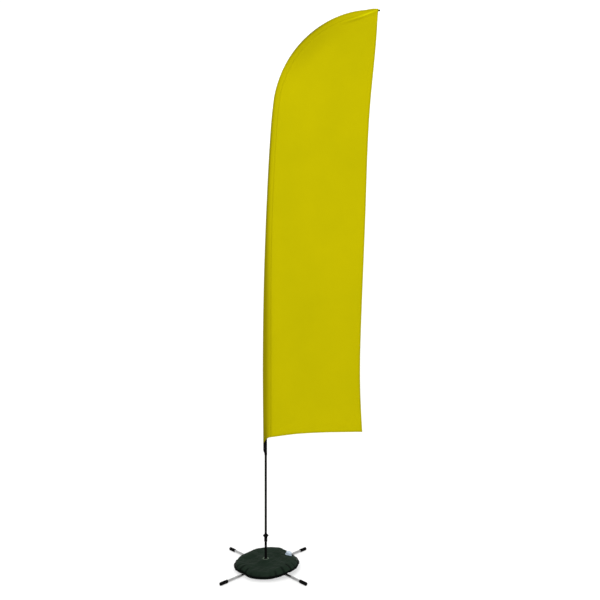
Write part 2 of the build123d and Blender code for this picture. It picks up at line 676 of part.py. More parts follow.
with BuildPart() as bag_body:
    with BuildSketch(Plane.XZ):
        with BuildLine():
            collar_top, rim_top, rim_foot = bag_outline(0)
            Polyline(rim_top, (BAG_R, rim_top[1]), (BAG_R, rim_foot[1]), rim_foot)
            Polyline((BAG_COLLAR_R, BAG_COLLAR_Z[0]), (BAG_HOLE_R, BAG_COLLAR_Z[0]), (BAG_HOLE_R, collar_top[1]),
                     collar_top)
        make_face()
    revolve(axis=Axis.Z)

with BuildPart() as bag_inside:
    with BuildSketch(Plane.XZ):
        with BuildLine():
            bag_outline(BAG_WALL)
        make_face()
    revolve(axis=Axis.Z)


def leg_channels(radius):
    """Arched channels along the four legs, from the axis out past the bag's rim, open to the floor."""
    with BuildPart() as channels:
        for leg_angle in LEG_ANGLES.values():
            with BuildSketch(leg_plane(leg_angle, 0)):
                Circle(radius)
                with Locations((-LEG_AXIS_Z, 0)):
                    Rectangle(2 * LEG_AXIS_Z, 2 * radius)
            extrude(amount=BAG_R + 10)
    return channels


bearing_angle = radians(FILLER_ANGLE)
tilt = radians(FILLER_TILT)
outwards = (cos(bearing_angle), sin(bearing_angle))
filler_plane = Plane(
    origin=(FILLER_R * outwards[0], FILLER_R * outwards[1], FILLER_Z),
    x_dir=(-outwards[1], outwards[0], 0),
    z_dir=(sin(tilt) * outwards[0], sin(tilt) * outwards[1], cos(tilt)),
)


def filler_disc(radius, foot, top, bore=0.0):
    """Disc or ring about the filler's tilted axis, between two heights above the bag's skin."""
    with BuildPart() as disc:
        with BuildSketch(filler_plane.offset(foot)):
            Circle(radius)
            if bore:
                Circle(bore, mode=Mode.SUBTRACT)
        extrude(amount=top - foot)
    return disc


with BuildPart() as water_ballast:
    add(bag_inside.part)
    add(leg_channels(CHANNEL_R + BAG_WALL).part, mode=Mode.SUBTRACT)
    add(filler_disc(NECK_R, -NECK_DEPTH, NECK_TOP).part, mode=Mode.SUBTRACT)
save(water_ballast, "water_ballast")

with BuildPart() as bag_shell:
    add(bag_body.part)
    add(leg_channels(CHANNEL_R).part, mode=Mode.SUBTRACT)
    add(filler_disc(NECK_R, -NECK_DEPTH, NECK_TOP).part, mode=Mode.SUBTRACT)
    add(water_ballast.part, mode=Mode.SUBTRACT)

# Everything above the two welds: a broken line from the collar's weld to the rim's weld
above_welds = turned([
    (0, COLLAR_WELD_Z), (BAG_COLLAR_R, COLLAR_WELD_Z), (RIM_FLANGE_R, BAG_SEAM_Z), (BAG_R + 10, BAG_SEAM_Z),
    (BAG_R + 10, 150), (0, 150),
])

with BuildPart() as bag_top_panel:
    add(bag_shell.part)
    add(above_welds.part, mode=Mode.INTERSECT)
save(bag_top_panel, "bag_top_panel")

with BuildPart() as bag_bottom_panel:
    add(bag_shell.part)
    add(above_welds.part, mode=Mode.SUBTRACT)
save(bag_bottom_panel, "bag_bottom_panel")

bag_eyelet = turned([
    (EYELET_BORE_R, BAG_COLLAR_Z[0] - EYELET_T), (EYELET_FLANGE_R, BAG_COLLAR_Z[0] - EYELET_T),
    (EYELET_FLANGE_R, BAG_COLLAR_Z[0]), (BAG_HOLE_R, BAG_COLLAR_Z[0]), (BAG_HOLE_R, BAG_COLLAR_Z[1]),
    (EYELET_FLANGE_R, BAG_COLLAR_Z[1]), (EYELET_FLANGE_R, BAG_COLLAR_Z[1] + EYELET_T),
    (EYELET_BORE_R, BAG_COLLAR_Z[1] + EYELET_T),
])
save(bag_eyelet, "bag_eyelet")

# ---------------------------------------------------------------------------
# Filler neck, gasket and screw cap, square to the bag's sloping skin
# ---------------------------------------------------------------------------
with BuildPart() as filler_neck:
    add(filler_disc(NECK_FLANGE_R, -NECK_DEPTH, NECK_FLANGE_TOP).part)
    add(bag_body.part, mode=Mode.SUBTRACT)
    add(filler_disc(NECK_R, -NECK_DEPTH, NECK_TOP).part)
    add(filler_disc(NECK_BORE_R, -NECK_DEPTH, NECK_TOP).part, mode=Mode.SUBTRACT)
save(filler_neck, "filler_neck")

with BuildPart() as filler_cap:
    add(filler_disc(CAP_R, CAP_FOOT, CAP_TOP).part)
    add(filler_disc(CAP_BORE_R, CAP_FOOT, CAP_TOP - CAP_ROOF).part, mode=Mode.SUBTRACT)
save(filler_cap, "filler_cap")

cap_gasket = filler_disc(CAP_BORE_R - 0.2, CAP_TOP - CAP_ROOF - GASKET_T, CAP_TOP - CAP_ROOF, NECK_BORE_R)
save(cap_gasket, "cap_gasket")
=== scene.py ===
"""Looks of a tall blade flag on a folding cross base with a water bag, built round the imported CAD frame."""

import json
import math

import bmesh
import bpy
import numpy as np
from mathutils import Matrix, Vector


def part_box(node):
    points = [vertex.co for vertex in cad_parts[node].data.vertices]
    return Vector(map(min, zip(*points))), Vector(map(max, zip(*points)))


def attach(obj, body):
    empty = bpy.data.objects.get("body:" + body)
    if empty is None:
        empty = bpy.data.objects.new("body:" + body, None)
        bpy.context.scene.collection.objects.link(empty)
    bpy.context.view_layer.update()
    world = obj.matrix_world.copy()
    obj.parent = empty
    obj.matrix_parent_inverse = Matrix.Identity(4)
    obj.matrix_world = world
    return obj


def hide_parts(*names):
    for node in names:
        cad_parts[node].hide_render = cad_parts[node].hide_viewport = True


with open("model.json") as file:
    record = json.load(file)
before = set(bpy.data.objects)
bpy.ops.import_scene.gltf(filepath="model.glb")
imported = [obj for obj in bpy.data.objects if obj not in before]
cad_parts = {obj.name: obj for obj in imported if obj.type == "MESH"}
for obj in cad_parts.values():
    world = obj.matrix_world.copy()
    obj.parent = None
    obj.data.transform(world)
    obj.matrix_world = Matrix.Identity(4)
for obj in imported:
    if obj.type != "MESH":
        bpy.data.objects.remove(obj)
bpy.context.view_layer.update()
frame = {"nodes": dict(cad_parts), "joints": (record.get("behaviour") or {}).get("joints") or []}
nodes = frame["nodes"]

MM = 0.001


# ---------------------------------------------------------------------------
# Mast line: the pole's centre line, as the CAD has it
# ---------------------------------------------------------------------------
MAST_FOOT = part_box("pole_end_bush")[0].z
MAST_STRAIGHT = 1.929  # length of the upright part, in metres
MAST_ARCS = ((1.375, 4.1), (0.216, 3.4), (0.802, 53.6), (0.424, 32.1))  # length in metres, turn in degrees
MAST_LENGTH = MAST_STRAIGHT + sum(length for length, turn in MAST_ARCS)


def mast_frame(run):
    """Point x, z and lean from the upright at a distance along the mast line."""
    x, z, lean = 0.0, MAST_FOOT + min(run, MAST_STRAIGHT), 0.0
    left = run - MAST_STRAIGHT
    for length, turn in MAST_ARCS:
        if left <= 0:
            break
        bend_r = length / math.radians(turn)
        end_lean = lean + min(left, length) / bend_r
        x += bend_r * (math.cos(lean) - math.cos(end_lean))
        z += bend_r * (math.sin(end_lean) - math.sin(lean))
        lean = end_lean
        left -= length
    return x, z, lean


def mast_point(run, inset, y=0.0):
    """Point beside the mast line: inset towards the flag, y to the back."""
    x, z, lean = mast_frame(run)
    return (x + inset * math.cos(lean), y, z - inset * math.sin(lean))


# ---------------------------------------------------------------------------
# Mesh helpers
# ---------------------------------------------------------------------------
def new_piece(name, verts, faces, material, smooth=True):
    """Object from vertices and faces, with its normals turned outwards."""
    mesh = bpy.data.meshes.new(name)
    mesh.from_pydata([tuple(v) for v in verts], [], faces)
    bm = bmesh.new()
    bm.from_mesh(mesh)
    bmesh.ops.recalc_face_normals(bm, faces=bm.faces)
    bm.to_mesh(mesh)
    bm.free()
    if smooth:
        mesh.shade_smooth()
    mesh.materials.append(material)
    piece = bpy.data.objects.new(name, mesh)
    bpy.context.scene.collection.objects.link(piece)
    return piece


def grid_faces(rows, columns, wrap_rows=False, wrap_columns=False):
    """Quads of a grid whose vertices are listed row by row."""
    faces = []
    for i in range(rows if wrap_rows else rows - 1):
        for j in range(columns if wrap_columns else columns - 1):
            a = i * columns + j
            b = i * columns + (j + 1) % columns
            c = ((i + 1) % rows) * columns + (j + 1) % columns
            d = ((i + 1) % rows) * columns + j
            faces.append((a, b, c, d))
    return faces


def skin(name, rings, material):
    """Closed tube through a list of rings with the same number of points."""
    rows, columns = len(rings), len(rings[0])
    faces = grid_faces(rows, columns, wrap_columns=True)
    faces.append(tuple(range(columns)))
    faces.append(tuple(range((rows - 1) * columns, rows * columns)))
    return new_piece(name, [p for ring in rings for p in ring], faces, material)


def lathe(name, profile, centre, axis, material, segments=48, ripple=None):
    """Solid turned from a closed (radius, height) profile about an axis through centre."""
    axis = Vector(axis).normalized()
    side = axis.orthogonal().normalized()
    other = axis.cross(side)
    verts, rows = [], len(profile)
    for k in range(segments):
        turn = 2 * math.pi * k / segments
        out = side * math.cos(turn) + other * math.sin(turn)
        for radius, height in profile:
            r = ripple(radius, height, turn) if ripple else radius
            verts.append(Vector(centre) + out * r + axis * height)
    return new_piece(name, verts, grid_faces(segments, rows, wrap_rows=True, wrap_columns=True), material)


def apply_modifiers(piece):
    """Bake a piece's modifiers into its mesh."""
    graph = bpy.context.evaluated_depsgraph_get()
    graph.update()
    mesh = bpy.data.meshes.new_from_object(piece.evaluated_get(graph))
    piece.modifiers.clear()
    piece.data = mesh
    return piece


def place(piece, body, slot, *replaced):
    """Put a piece on the body it rides on and hide the CAD nodes it stands for; slot is not used."""
    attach(piece, body)
    if replaced:
        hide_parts(*replaced)
    return piece


# ---------------------------------------------------------------------------
# Materials
# ---------------------------------------------------------------------------
class Nodes:
    """A new node material with short calls for adding and joining nodes."""

    def __init__(self, name):
        self.material = bpy.data.materials.new(name)
        self.material.use_nodes = True
        self.tree = self.material.node_tree
        self.shader = self.tree.nodes["Principled BSDF"]
        self.coords = self.tree.nodes.new("ShaderNodeTexCoord").outputs["Object"]

    def add(self, kind, links=None, **settings):
        """Add a node; settings name its properties or its input values, links its joined inputs."""
        node = self.tree.nodes.new(kind)
        for key, value in settings.items():
            if hasattr(node, key):
                setattr(node, key, value)
            else:
                node.inputs[key.replace("_", " ")].default_value = value
        for key, source in (links or {}).items():
            self.tree.links.new(source, node.inputs[key])
        return node

    def noise(self, scale, detail=4.0, roughness=0.55, stretch=(1, 1, 1)):
        """Noise value in object space, stretched along the axes."""
        mapped = self.add("ShaderNodeMapping", {"Vector": self.coords}, Scale=stretch)
        node = self.add("ShaderNodeTexNoise", {"Vector": mapped.outputs[0]}, Scale=scale, Detail=detail)
        node.inputs["Roughness"].default_value = roughness
        return node.outputs["Fac"]

    def ramp(self, value, low, high, at=(0.0, 1.0)):
        """Colour ramp between two colours."""
        node = self.add("ShaderNodeValToRGB", {"Fac": value})
        for element, position, colour in zip(node.color_ramp.elements, at, (low, high)):
            element.position = position
            element.color = (*colour, 1.0)
        return node.outputs["Color"]

    def range(self, value, low, high):
        """Value from 0..1 mapped to low..high."""
        node = self.add("ShaderNodeMapRange", {"Value": value})
        node.inputs["To Min"].default_value = low
        node.inputs["To Max"].default_value = high
        return node.outputs[0]

    def attribute(self, name):
        """Value stored on the mesh's vertices."""
        return self.add("ShaderNodeAttribute", attribute_name=name).outputs["Fac"]

    def tint(self, base, amount, colour, blend_type="MIX"):
        """A colour socket mixed with a fixed colour by an amount."""
        node = self.add("ShaderNodeMix", {"Factor": amount}, data_type="RGBA", blend_type=blend_type)
        first, second = [s for s in node.inputs if s.type == "RGBA"]
        self.tree.links.new(base, first)
        second.default_value = (*colour, 1)
        return [s for s in node.outputs if s.type == "RGBA"][0]

    def math(self, operation, a, b=None, second=0.5):
        """Maths node on one or two values."""
        node = self.add("ShaderNodeMath", {0: a} if b is None else {0: a, 1: b}, operation=operation)
        if b is None:
            node.inputs[1].default_value = second
        return node.outputs[0]

    def weave(self, pitch, axes=("X", "Z")):
        """Height of a plain weave: two sets of threads that pass over and under."""
        split = self.add("ShaderNodeSeparateXYZ", {"Vector": self.coords})
        waves = []
        for axis in axes:
            turned = self.math("MULTIPLY", split.outputs[axis], second=2 * math.pi / pitch)
            waves.append(self.math("SINE", turned))
        return self.math("MULTIPLY", waves[0], waves[1])

    def bump(self, height, distance, strength=1.0, under=None):
        """Bump from a height, on top of another bump."""
        links = {"Height": height}
        if under:
            links["Normal"] = under
        node = self.add("ShaderNodeBump", links, Distance=distance, Strength=strength)
        return node.outputs["Normal"]

    def set(self, **values):
        """Set or join the shader's inputs."""
        for key, value in values.items():
            socket = self.shader.inputs[key.replace("_", " ")]
            if isinstance(value, bpy.types.NodeSocket):
                self.tree.links.new(value, socket)
            else:
                socket.default_value = value
        return self


def flag_material(name, light, dark, thread):
    """Knitted flag polyester: slight mottling, fine threads, darker where the black pole shows through, with
    painted shade at the mast's bend and under the tip crease, and a painted highlight along that crease.
    """
    m = Nodes(name)
    mottle = m.noise(2.2, detail=5)
    base = m.ramp(mottle, dark, light, at=(0.32, 0.72))
    fleck = m.noise(900, detail=2, stretch=(1, 1, 0.35))
    # darker where the black pole shows through, plus painted shade at the bend and under the tip crease
    under = m.tint(base, m.attribute("shade"), (0.155, 0.133, 0.001))
    # painted highlight along the crease at the tip
    lit = m.tint(under, m.attribute("shine"), (0.56, 0.54, 0.001))
    out = m.tint(lit, m.range(fleck, 0.0, 0.14), (0.72, 0.70, 0.6), blend_type="MULTIPLY")
    weave = m.bump(m.weave(thread), 0.00012, 0.5)
    soft = m.bump(m.noise(38, detail=3), 0.0006, 0.35, under=weave)
    m.set(Base_Color=out, Roughness=m.range(m.noise(60), 0.62, 0.8), Normal=soft)
    m.set(Sheen_Weight=0.03, Sheen_Roughness=0.5, Sheen_Tint=(0.9, 0.8, 0.0, 1), Specular_IOR_Level=0.004)
    return m.material


def webbing_material(name, colour, pitch):
    """Black ribbed webbing."""
    m = Nodes(name)
    base = m.ramp(m.noise(120, detail=6), [0.5 * c for c in colour], colour, at=(0.3, 0.75))
    ribs = m.bump(m.weave(pitch), 0.0003, 0.8)
    m.set(Base_Color=base, Roughness=m.range(m.noise(40), 0.65, 0.9), Normal=ribs)
    m.set(Sheen_Weight=0.01, Sheen_Roughness=0.5, Specular_IOR_Level=0.03)
    return m.material


def satin_material(name, colour, roughness, metallic=0.0, grain=0.00004, scratch=(1, 1, 1), gloss=0.012):
    """Painted, moulded or anodised surface: fine grain, handling marks and uneven gloss."""
    m = Nodes(name)
    light = [min(1.0, 1.5 * c + 0.002) for c in colour]
    base = m.ramp(m.noise(55, detail=8, roughness=0.7), colour, light, at=(0.35, 0.85))
    marks = m.noise(260, detail=3, stretch=scratch)
    rough = m.range(marks, roughness - 0.08, roughness + 0.14)
    bumps = m.bump(m.noise(1400, detail=2), grain, 0.6)
    m.set(Base_Color=base, Roughness=rough, Normal=bumps, Metallic=metallic, Specular_IOR_Level=gloss)
    return m.material


def chrome_material(name, colour):
    """Plated steel tube: bright, finely uneven, with a few dull smudges."""
    m = Nodes(name)
    dull = [0.55 * c for c in colour]
    base = m.ramp(m.noise(18, detail=6), dull, colour, at=(0.25, 0.6))
    rough = m.range(m.noise(30, detail=5), 0.16, 0.34)
    uneven = m.bump(m.noise(700, detail=2), 0.00002, 0.4)
    m.set(Base_Color=base, Roughness=rough, Normal=uneven, Metallic=1.0)
    return m.material


def bag_material(name, colour, light):
    """Coated nylon of the water bag: fine weave under a satin coat, creased, with painted shade in the pucker
    hollows and towards the ground.
    """
    m = Nodes(name)
    cloth = m.ramp(m.noise(9, detail=8, roughness=0.65), colour, light, at=(0.35, 0.8))
    height = m.add("ShaderNodeSeparateXYZ", {"Vector": m.coords}).outputs["Z"]
    low = m.add("ShaderNodeMapRange", {"Value": height})  # painted shade, darker towards the ground
    for key, value in (("From Min", 0.006), ("From Max", 0.052), ("To Min", 0.86), ("To Max", 0.0)):
        low.inputs[key].default_value = value
    # painted shade in the pucker hollows
    pucker_shaded = m.tint(cloth, m.attribute("crease"), (0.001, 0.0015, 0.0012))
    # painted shade on the lower side of the bag
    base = m.tint(pucker_shaded, low.outputs[0], (0.001, 0.0015, 0.0012))
    weave = m.bump(m.weave(0.0011, ("X", "Y")), 0.00015, 0.55)
    creases = m.add("ShaderNodeTexVoronoi", {"Vector": m.coords}, Scale=24.0, feature="SMOOTH_F1")
    folded = m.bump(creases.outputs["Distance"], 0.0012, 0.35, under=weave)
    small = m.bump(m.noise(70, detail=4), 0.0008, 0.5, under=folded)
    m.set(Base_Color=base, Roughness=m.range(m.noise(35, detail=5), 0.42, 0.66), Normal=small)
    m.set(Sheen_Weight=0.004, Sheen_Roughness=0.4, Specular_IOR_Level=0.012)
    return m.material


def plain_material(name, colour):
    """Even, dull surface for the floor and backdrop."""
    m = Nodes(name)
    m.set(Base_Color=(*colour, 1), Roughness=0.9, Specular_IOR_Level=0.1)
    m.set(Emission_Color=(1, 1, 1, 1), Emission_Strength=0.57)
    return m.material


FLAG = flag_material("flag polyester", (0.408, 0.356, 0.0006), (0.379, 0.335, 0.0006), 0.0016)
HEM = flag_material("flag hem", (0.358, 0.317, 0.0006), (0.327, 0.29, 0.0006), 0.0016)
THREAD = flag_material("flag thread", (0.395, 0.345, 0.001), (0.36, 0.318, 0.001), 0.0004)
WEBBING = webbing_material("black webbing", (0.004, 0.004, 0.0045), 0.0022)
POLE_BLACK = satin_material("pole black", (0.002, 0.002, 0.0022), 0.38, scratch=(1, 1, 0.04))
METAL_BLACK = satin_material("powder coat black", (0.002, 0.002, 0.002), 0.45, grain=0.00008)
RUBBER = satin_material("black rubber", (0.003, 0.003, 0.003), 0.62, grain=0.00010)
PLASTIC_BLACK = satin_material("black plastic", (0.003, 0.003, 0.003), 0.5)
CAP_WHITE = satin_material("white plastic", (0.36, 0.43, 0.50), 0.36, gloss=0.4)
STEEL = satin_material("zinc plated steel", (0.36, 0.36, 0.32), 0.34, metallic=1.0, gloss=0.5)
EYELET = satin_material("dull eyelet", (0.085, 0.11, 0.08), 0.5)
CHROME = chrome_material("leg chrome", (0.47, 0.47, 0.47))
BAG = bag_material("bag cloth", (0.008, 0.015, 0.0095), (0.0135, 0.0235, 0.016))
BAG_EDGE = bag_material("bag piping", (0.001, 0.0015, 0.0013), (0.002, 0.003, 0.0025))
FLOOR = plain_material("studio", (0.42, 0.42, 0.42))

CAD_LOOKS = {
    METAL_BLACK: ["hub_casting", "base_post", "post_lock_ring", "bearing_housing", "spindle_shaft",
                  "leg_tongue_front_right", "leg_tongue_back_right", "leg_tongue_back_left",
                  "leg_tongue_front_left", "cuff_eyelet", "cuff_stud"],
    POLE_BLACK: ["pole_section_1", "pole_section_2", "pole_section_3", "pole_section_4", "pole_stop_collars"],
    PLASTIC_BLACK: ["pole_end_bush", "pole_tip_cap"],
    RUBBER: ["hub_pad", "shaft_seal", "spigot_ring", "cap_gasket"],
    CAP_WHITE: ["filler_neck"],
    CHROME: ["leg_tube_front_right", "leg_tube_back_right", "leg_tube_back_left", "leg_tube_front_left"],
    STEEL: ["leg_pivot_bolts", "leg_pivot_washers", "leg_pivot_nuts", "post_screw", "housing_circlip",
            "bearing_outer_rings", "bearing_inner_rings", "bearing_balls", "bearing_outer_spacer",
            "bearing_inner_spacer", "spindle_retaining_screw", "pole_mouth_rings"],
    EYELET: ["bag_eyelet"],
    WEBBING: ["tip_webbing"],
}


def paint_cad_nodes():
    """Give each CAD node that stays in view its material."""
    for look, names in CAD_LOOKS.items():
        for name in names:
            mesh = nodes[name].data
            mesh.materials.clear()
            mesh.materials.append(look)


paint_cad_nodes()

# ---------------------------------------------------------------------------
# Flag cloth: where it lies in its own plane, and how far it stands out of it
# ---------------------------------------------------------------------------
POCKET = 0.040  # mast line to the sleeve's seam
HEM_WIDTH = 12 * MM
SLEEVE_END = MAST_LENGTH - 2 * MM
hem_low, hem_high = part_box("bottom_hem")
back_low, back_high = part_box("back_hem")
CORNER = (hem_high.x, back_low.z - HEM_WIDTH)
HEM_FOOT_Z = hem_low.z  # bottom hem where it meets the sleeve
SEAM_FOOT_RUN = HEM_FOOT_Z - MAST_FOOT

# Back edge: its x at heights from the bottom corner to the tip
BACK_Z = (CORNER[1], 1.528, 1.838, 2.938, 3.788, 4.278, back_high.z)
BACK_X = (CORNER[0], 0.766, 0.770, 0.812, 0.852, 0.898, back_high.x)


def smooth_curve(xs, ys, at):
    """Natural cubic spline through points, evaluated at a list of places."""
    xs, ys = np.array(xs, float), np.array(ys, float)
    n, gaps = len(xs), np.diff(xs)
    matrix, right = np.eye(n), np.zeros(n)
    for i in range(1, n - 1):
        matrix[i, i - 1:i + 2] = gaps[i - 1], 2 * (gaps[i - 1] + gaps[i]), gaps[i]
        right[i] = 6 * ((ys[i + 1] - ys[i]) / gaps[i] - (ys[i] - ys[i - 1]) / gaps[i - 1])
    curve = np.linalg.solve(matrix, right)
    at = np.clip(np.asarray(at, float), xs[0], xs[-1])
    k = np.clip(np.searchsorted(xs, at) - 1, 0, n - 2)
    h, a, b = gaps[k], xs[k + 1] - at, at - xs[k]
    return (curve[k] * a**3 + curve[k + 1] * b**3) / (6 * h) + (ys[k] / h - curve[k] * h / 6) * a + (
        ys[k + 1] / h - curve[k + 1] * h / 6) * b


def back_x(z):
    """x of the back edge at a height."""
    return float(smooth_curve(BACK_Z, BACK_X, [z])[0])


def bottom_z(x):
    """z of the bottom edge at a distance from the pole."""
    return float(smooth_curve((POCKET, 0.100, 0.230, 0.500, CORNER[0]),
                              (HEM_FOOT_Z, 1.059, 1.075, 1.090, CORNER[1]), [x])[0])


TIP = Vector(mast_point(SLEEVE_END, 0.0))


def bell(value, width):
    """Smooth bump of height 1 that fades over the width."""
    return math.exp(-(value / width) ** 2)


def tip_fold(x, z):
    """How far a point lies below the crease that runs down and back from the tip."""
    back = max(0.0, TIP.x - x)
    return (TIP.z - z) - 0.36 * back + 0.16 * back * back


def tip_highlight(x, z):
    """Painted highlight where the crease at the tip catches the light."""
    back = TIP.x - x
    return 0.85 * bell(tip_fold(x, z) + 0.001, 0.0055) * bell(back - 0.10, 0.10)


def crease_shade(x, z):
    """Painted soft shade under the crease at the tip."""
    back = TIP.x - x
    return 0.28 * bell(tip_fold(x, z) - 0.015, 0.008) * bell(back - 0.17, 0.09)


def pole_and_painted_shade(run, inset):
    """How dark the cloth looks near the mast: the black pole inside the sleeve, plus painted shade at the
    bend.
    """
    depth = np.interp(run, (0.75, 0.95, 1.9, 3.0, 3.3, 3.6, 3.75, 3.95, 4.2, 4.4),
                      (1.0, 0.80, 0.82, 0.88, 0.75, 0.5, 0.3, 0.6, 0.8, 0.3))
    fade = np.interp(run, (1.9, 2.2, 2.6, 3.0), (0.026, 0.021, 0.014, 0.010))
    # painted shade: a broad soft darkening along the bend
    soft = 0.22 * bell(run - 4.12, 0.34) * bell(max(0.0, inset - 0.05), 0.10)
    return float(depth) * math.exp(-(max(0.0, inset) / float(fade)) ** 1.3) + soft


def gathers(across, up, count):
    """Shallow folds that fan out from a point; across and up are measured from it."""
    return 1.6 * MM * math.sin(math.atan2(up, across) * count)


def cloth_y(x, z, inset):
    """How far the cloth stands out of its plane; inset is the distance from the mast line."""
    free = 1 - math.exp(-max(0.0, inset - 0.02) / 0.09)  # the pole holds it flat
    height = (z - CORNER[1]) / (TIP.z - CORNER[1])
    across = x / CORNER[0]
    billow = 0.010 * math.sin(math.pi * min(1.0, across)) * math.sin(math.pi * min(1.0, max(0.0, height)))
    sway = 0.005 * math.sin(2.1 * math.pi * height + 1.9 * across + 0.6) * across
    # Folds that run from the tip back under the sleeve
    back = TIP.x - x
    drop = tip_fold(x, z)
    near_tip = bell(back - 0.15, 0.13)
    folds = -0.009 * bell(drop - 0.004, 0.011) * near_tip + 0.009 * bell(drop - 0.032, 0.018) * near_tip
    folds += 0.010 * bell(inset - 0.11, 0.07) * bell(x - 0.34, 0.16) * bell(z - 4.18, 0.30)
    # Long slack folds from the tip towards the bottom corner
    lean = x - 0.62 * (z - CORNER[1]) / 3.4 - 0.25
    slack = 0.0022 * math.sin(lean * 26.0 + 1.3 * z) * (0.35 + 0.65 * height)
    # Small gathers where the hem pulls at the bottom corner and the sleeve's foot
    foot = gathers(x + 0.02, z - HEM_FOOT_Z, 17) * bell(math.hypot(x, z - HEM_FOOT_Z) - 0.16, 0.16)
    to_corner = CORNER[0] - x
    corner = gathers(to_corner + 1e-6, z - CORNER[1], 13)
    corner *= bell(math.hypot(to_corner, z - CORNER[1]) - 0.14, 0.12)
    return free * (billow + sway + folds + slack + foot + corner)


# ---------------------------------------------------------------------------
# Flag panel
# ---------------------------------------------------------------------------
PANEL_THICK = 0.5 * MM
RIB_STEP = 0.0125
COLUMNS = 64
TURN_RUN = 2.75  # above this the ribs start to fan towards the tip


def back_height(run):
    """Height on the back edge that a rib from the sleeve's seam goes to."""
    seam_z = mast_point(run, POCKET)[2]
    turn_z = mast_point(TURN_RUN, POCKET)[2]
    if run <= TURN_RUN:
        return seam_z + (CORNER[1] - HEM_FOOT_Z) * (1 - (run - SEAM_FOOT_RUN) / (TURN_RUN - SEAM_FOOT_RUN))
    return turn_z + (back_high.z - turn_z) * (run - TURN_RUN) / (SLEEVE_END - TURN_RUN)


def rib(run, end_inset=2.0 * MM):
    """Points from the sleeve's seam almost to the back edge, with each point's inset from the mast."""
    start = mast_point(run, POCKET)
    top = back_height(run)
    end = (back_x(top) - end_inset, top)
    points = []
    for j in range(COLUMNS):
        t = j / (COLUMNS - 1)
        x = start[0] + (end[0] - start[0]) * t
        z = start[2] + (end[1] - start[2]) * t
        sag = 0.0
        if run < SEAM_FOOT_RUN + 0.6:  # lower ribs bend like the bottom edge does
            straight = HEM_FOOT_Z + (CORNER[1] - HEM_FOOT_Z) * t
            fade = 1 - (run - SEAM_FOOT_RUN) / 0.6
            sag = (bottom_z(POCKET + (CORNER[0] - POCKET) * t) - straight) * fade
        points.append((x, z + sag, POCKET + (end[0] - start[0]) * t))
    return points


def panel_point(x, z, inset, side):
    """Point of the flag's cloth in space, side in metres in front (-) or behind (+)."""
    return (x, cloth_y(x, z, inset) + side, z)


def store(piece, name, values):
    """Store one value for each vertex, for the material to read."""
    layer = piece.data.attributes.new(name, "FLOAT", "POINT")
    layer.data.foreach_set("value", np.array(values, dtype=np.float32))


def sheet_edge(rows, columns):
    """Indices round the edge of a grid of vertices."""
    edge = list(range(columns)) + [i * columns + columns - 1 for i in range(1, rows)]
    edge += [(rows - 1) * columns + j for j in range(columns - 2, -1, -1)]
    return edge + [i * columns for i in range(rows - 2, 0, -1)]


def panel_cloth():
    """The flag's panel: a front and a back face a cloth's thickness apart, closed round the edge."""
    rows = int((SLEEVE_END - SEAM_FOOT_RUN) / RIB_STEP)
    top_run = SLEEVE_END - 4 * MM
    runs = [SEAM_FOOT_RUN + (top_run - SEAM_FOOT_RUN) * i / (rows - 1) for i in range(rows)]
    cloth = [(run, point) for run in runs for point in rib(run)]
    verts = [panel_point(*point, side) for side in (-PANEL_THICK / 2, PANEL_THICK / 2) for _, point in cloth]
    back = len(cloth)
    front_faces = grid_faces(rows, COLUMNS)
    faces = front_faces + [tuple(back + v for v in reversed(f)) for f in front_faces]
    edge = sheet_edge(rows, COLUMNS)
    faces += [(a, b, back + b, back + a) for a, b in zip(edge, edge[1:] + edge[:1])]
    piece = new_piece("flag_cloth", verts, faces, FLAG)
    # shade: the black pole showing through, plus painted shade at the bend and under the tip crease
    store(piece, "shade", [pole_and_painted_shade(run, inset) + crease_shade(x, z) for run, (x, z, inset) in cloth] * 2)
    # shine: painted highlight along the crease at the tip
    store(piece, "shine", [tip_highlight(x, z) for _, (x, z, _) in cloth] * 2)
    return piece


panel = place(panel_cloth(), "pole", "flag_fabric", "flag_panel")

# ---------------------------------------------------------------------------
# Sleeve: a pocket of the same cloth round the pole, closed by a seam
# ---------------------------------------------------------------------------
SLEEVE_LAYER = 0.7 * MM  # outer skin to inner skin
SECTIONS = ((1.240, 9.5), (2.430, 8.0), (3.620, 6.5), (5.0, 4.5))  # pole radius up to each run, in mm
SLEEVE_COLUMNS = 40
FOOT_CUT = (-0.022, 0.996)  # lowest point of the sleeve's slanted foot, as inset and height


def pole_radius(run):
    """Radius of the pole inside the sleeve, eased over each joint."""
    radius = SECTIONS[0][1]
    for (end, here), (_, above) in zip(SECTIONS, SECTIONS[1:]):
        radius += (above - here) / (1 + math.exp(-(run - end) / 0.02))
    return radius * MM


LOOSE_RUNS = (0.0, 0.75, 1.0, 1.25, 1.5, 1.8, 2.1, 2.4, 2.7)
LOOSE_LEFT = (20.5, 20.5, 22.5, 24.3, 23.8, 20.5, 15.0, 10.5, 8.0)  # loose fold outside the pole, in mm


def sleeve_radius(run):
    """Radius of the sleeve round the pole, wider at the tip where the webbing is sewn in."""
    t = min(1.0, max(0.0, (run - SLEEVE_END + 0.11) / 0.075))
    return pole_radius(run) + 1.2 * MM + (12.4 * MM - pole_radius(run) - 1.2 * MM) * t * t * (3 - 2 * t)


def sleeve_left(run):
    """How far the sleeve reaches outside the mast line."""
    if run >= LOOSE_RUNS[-1]:
        return sleeve_radius(run)
    return max(sleeve_radius(run), MM * float(smooth_curve(LOOSE_RUNS, LOOSE_LEFT, [run])[0]))


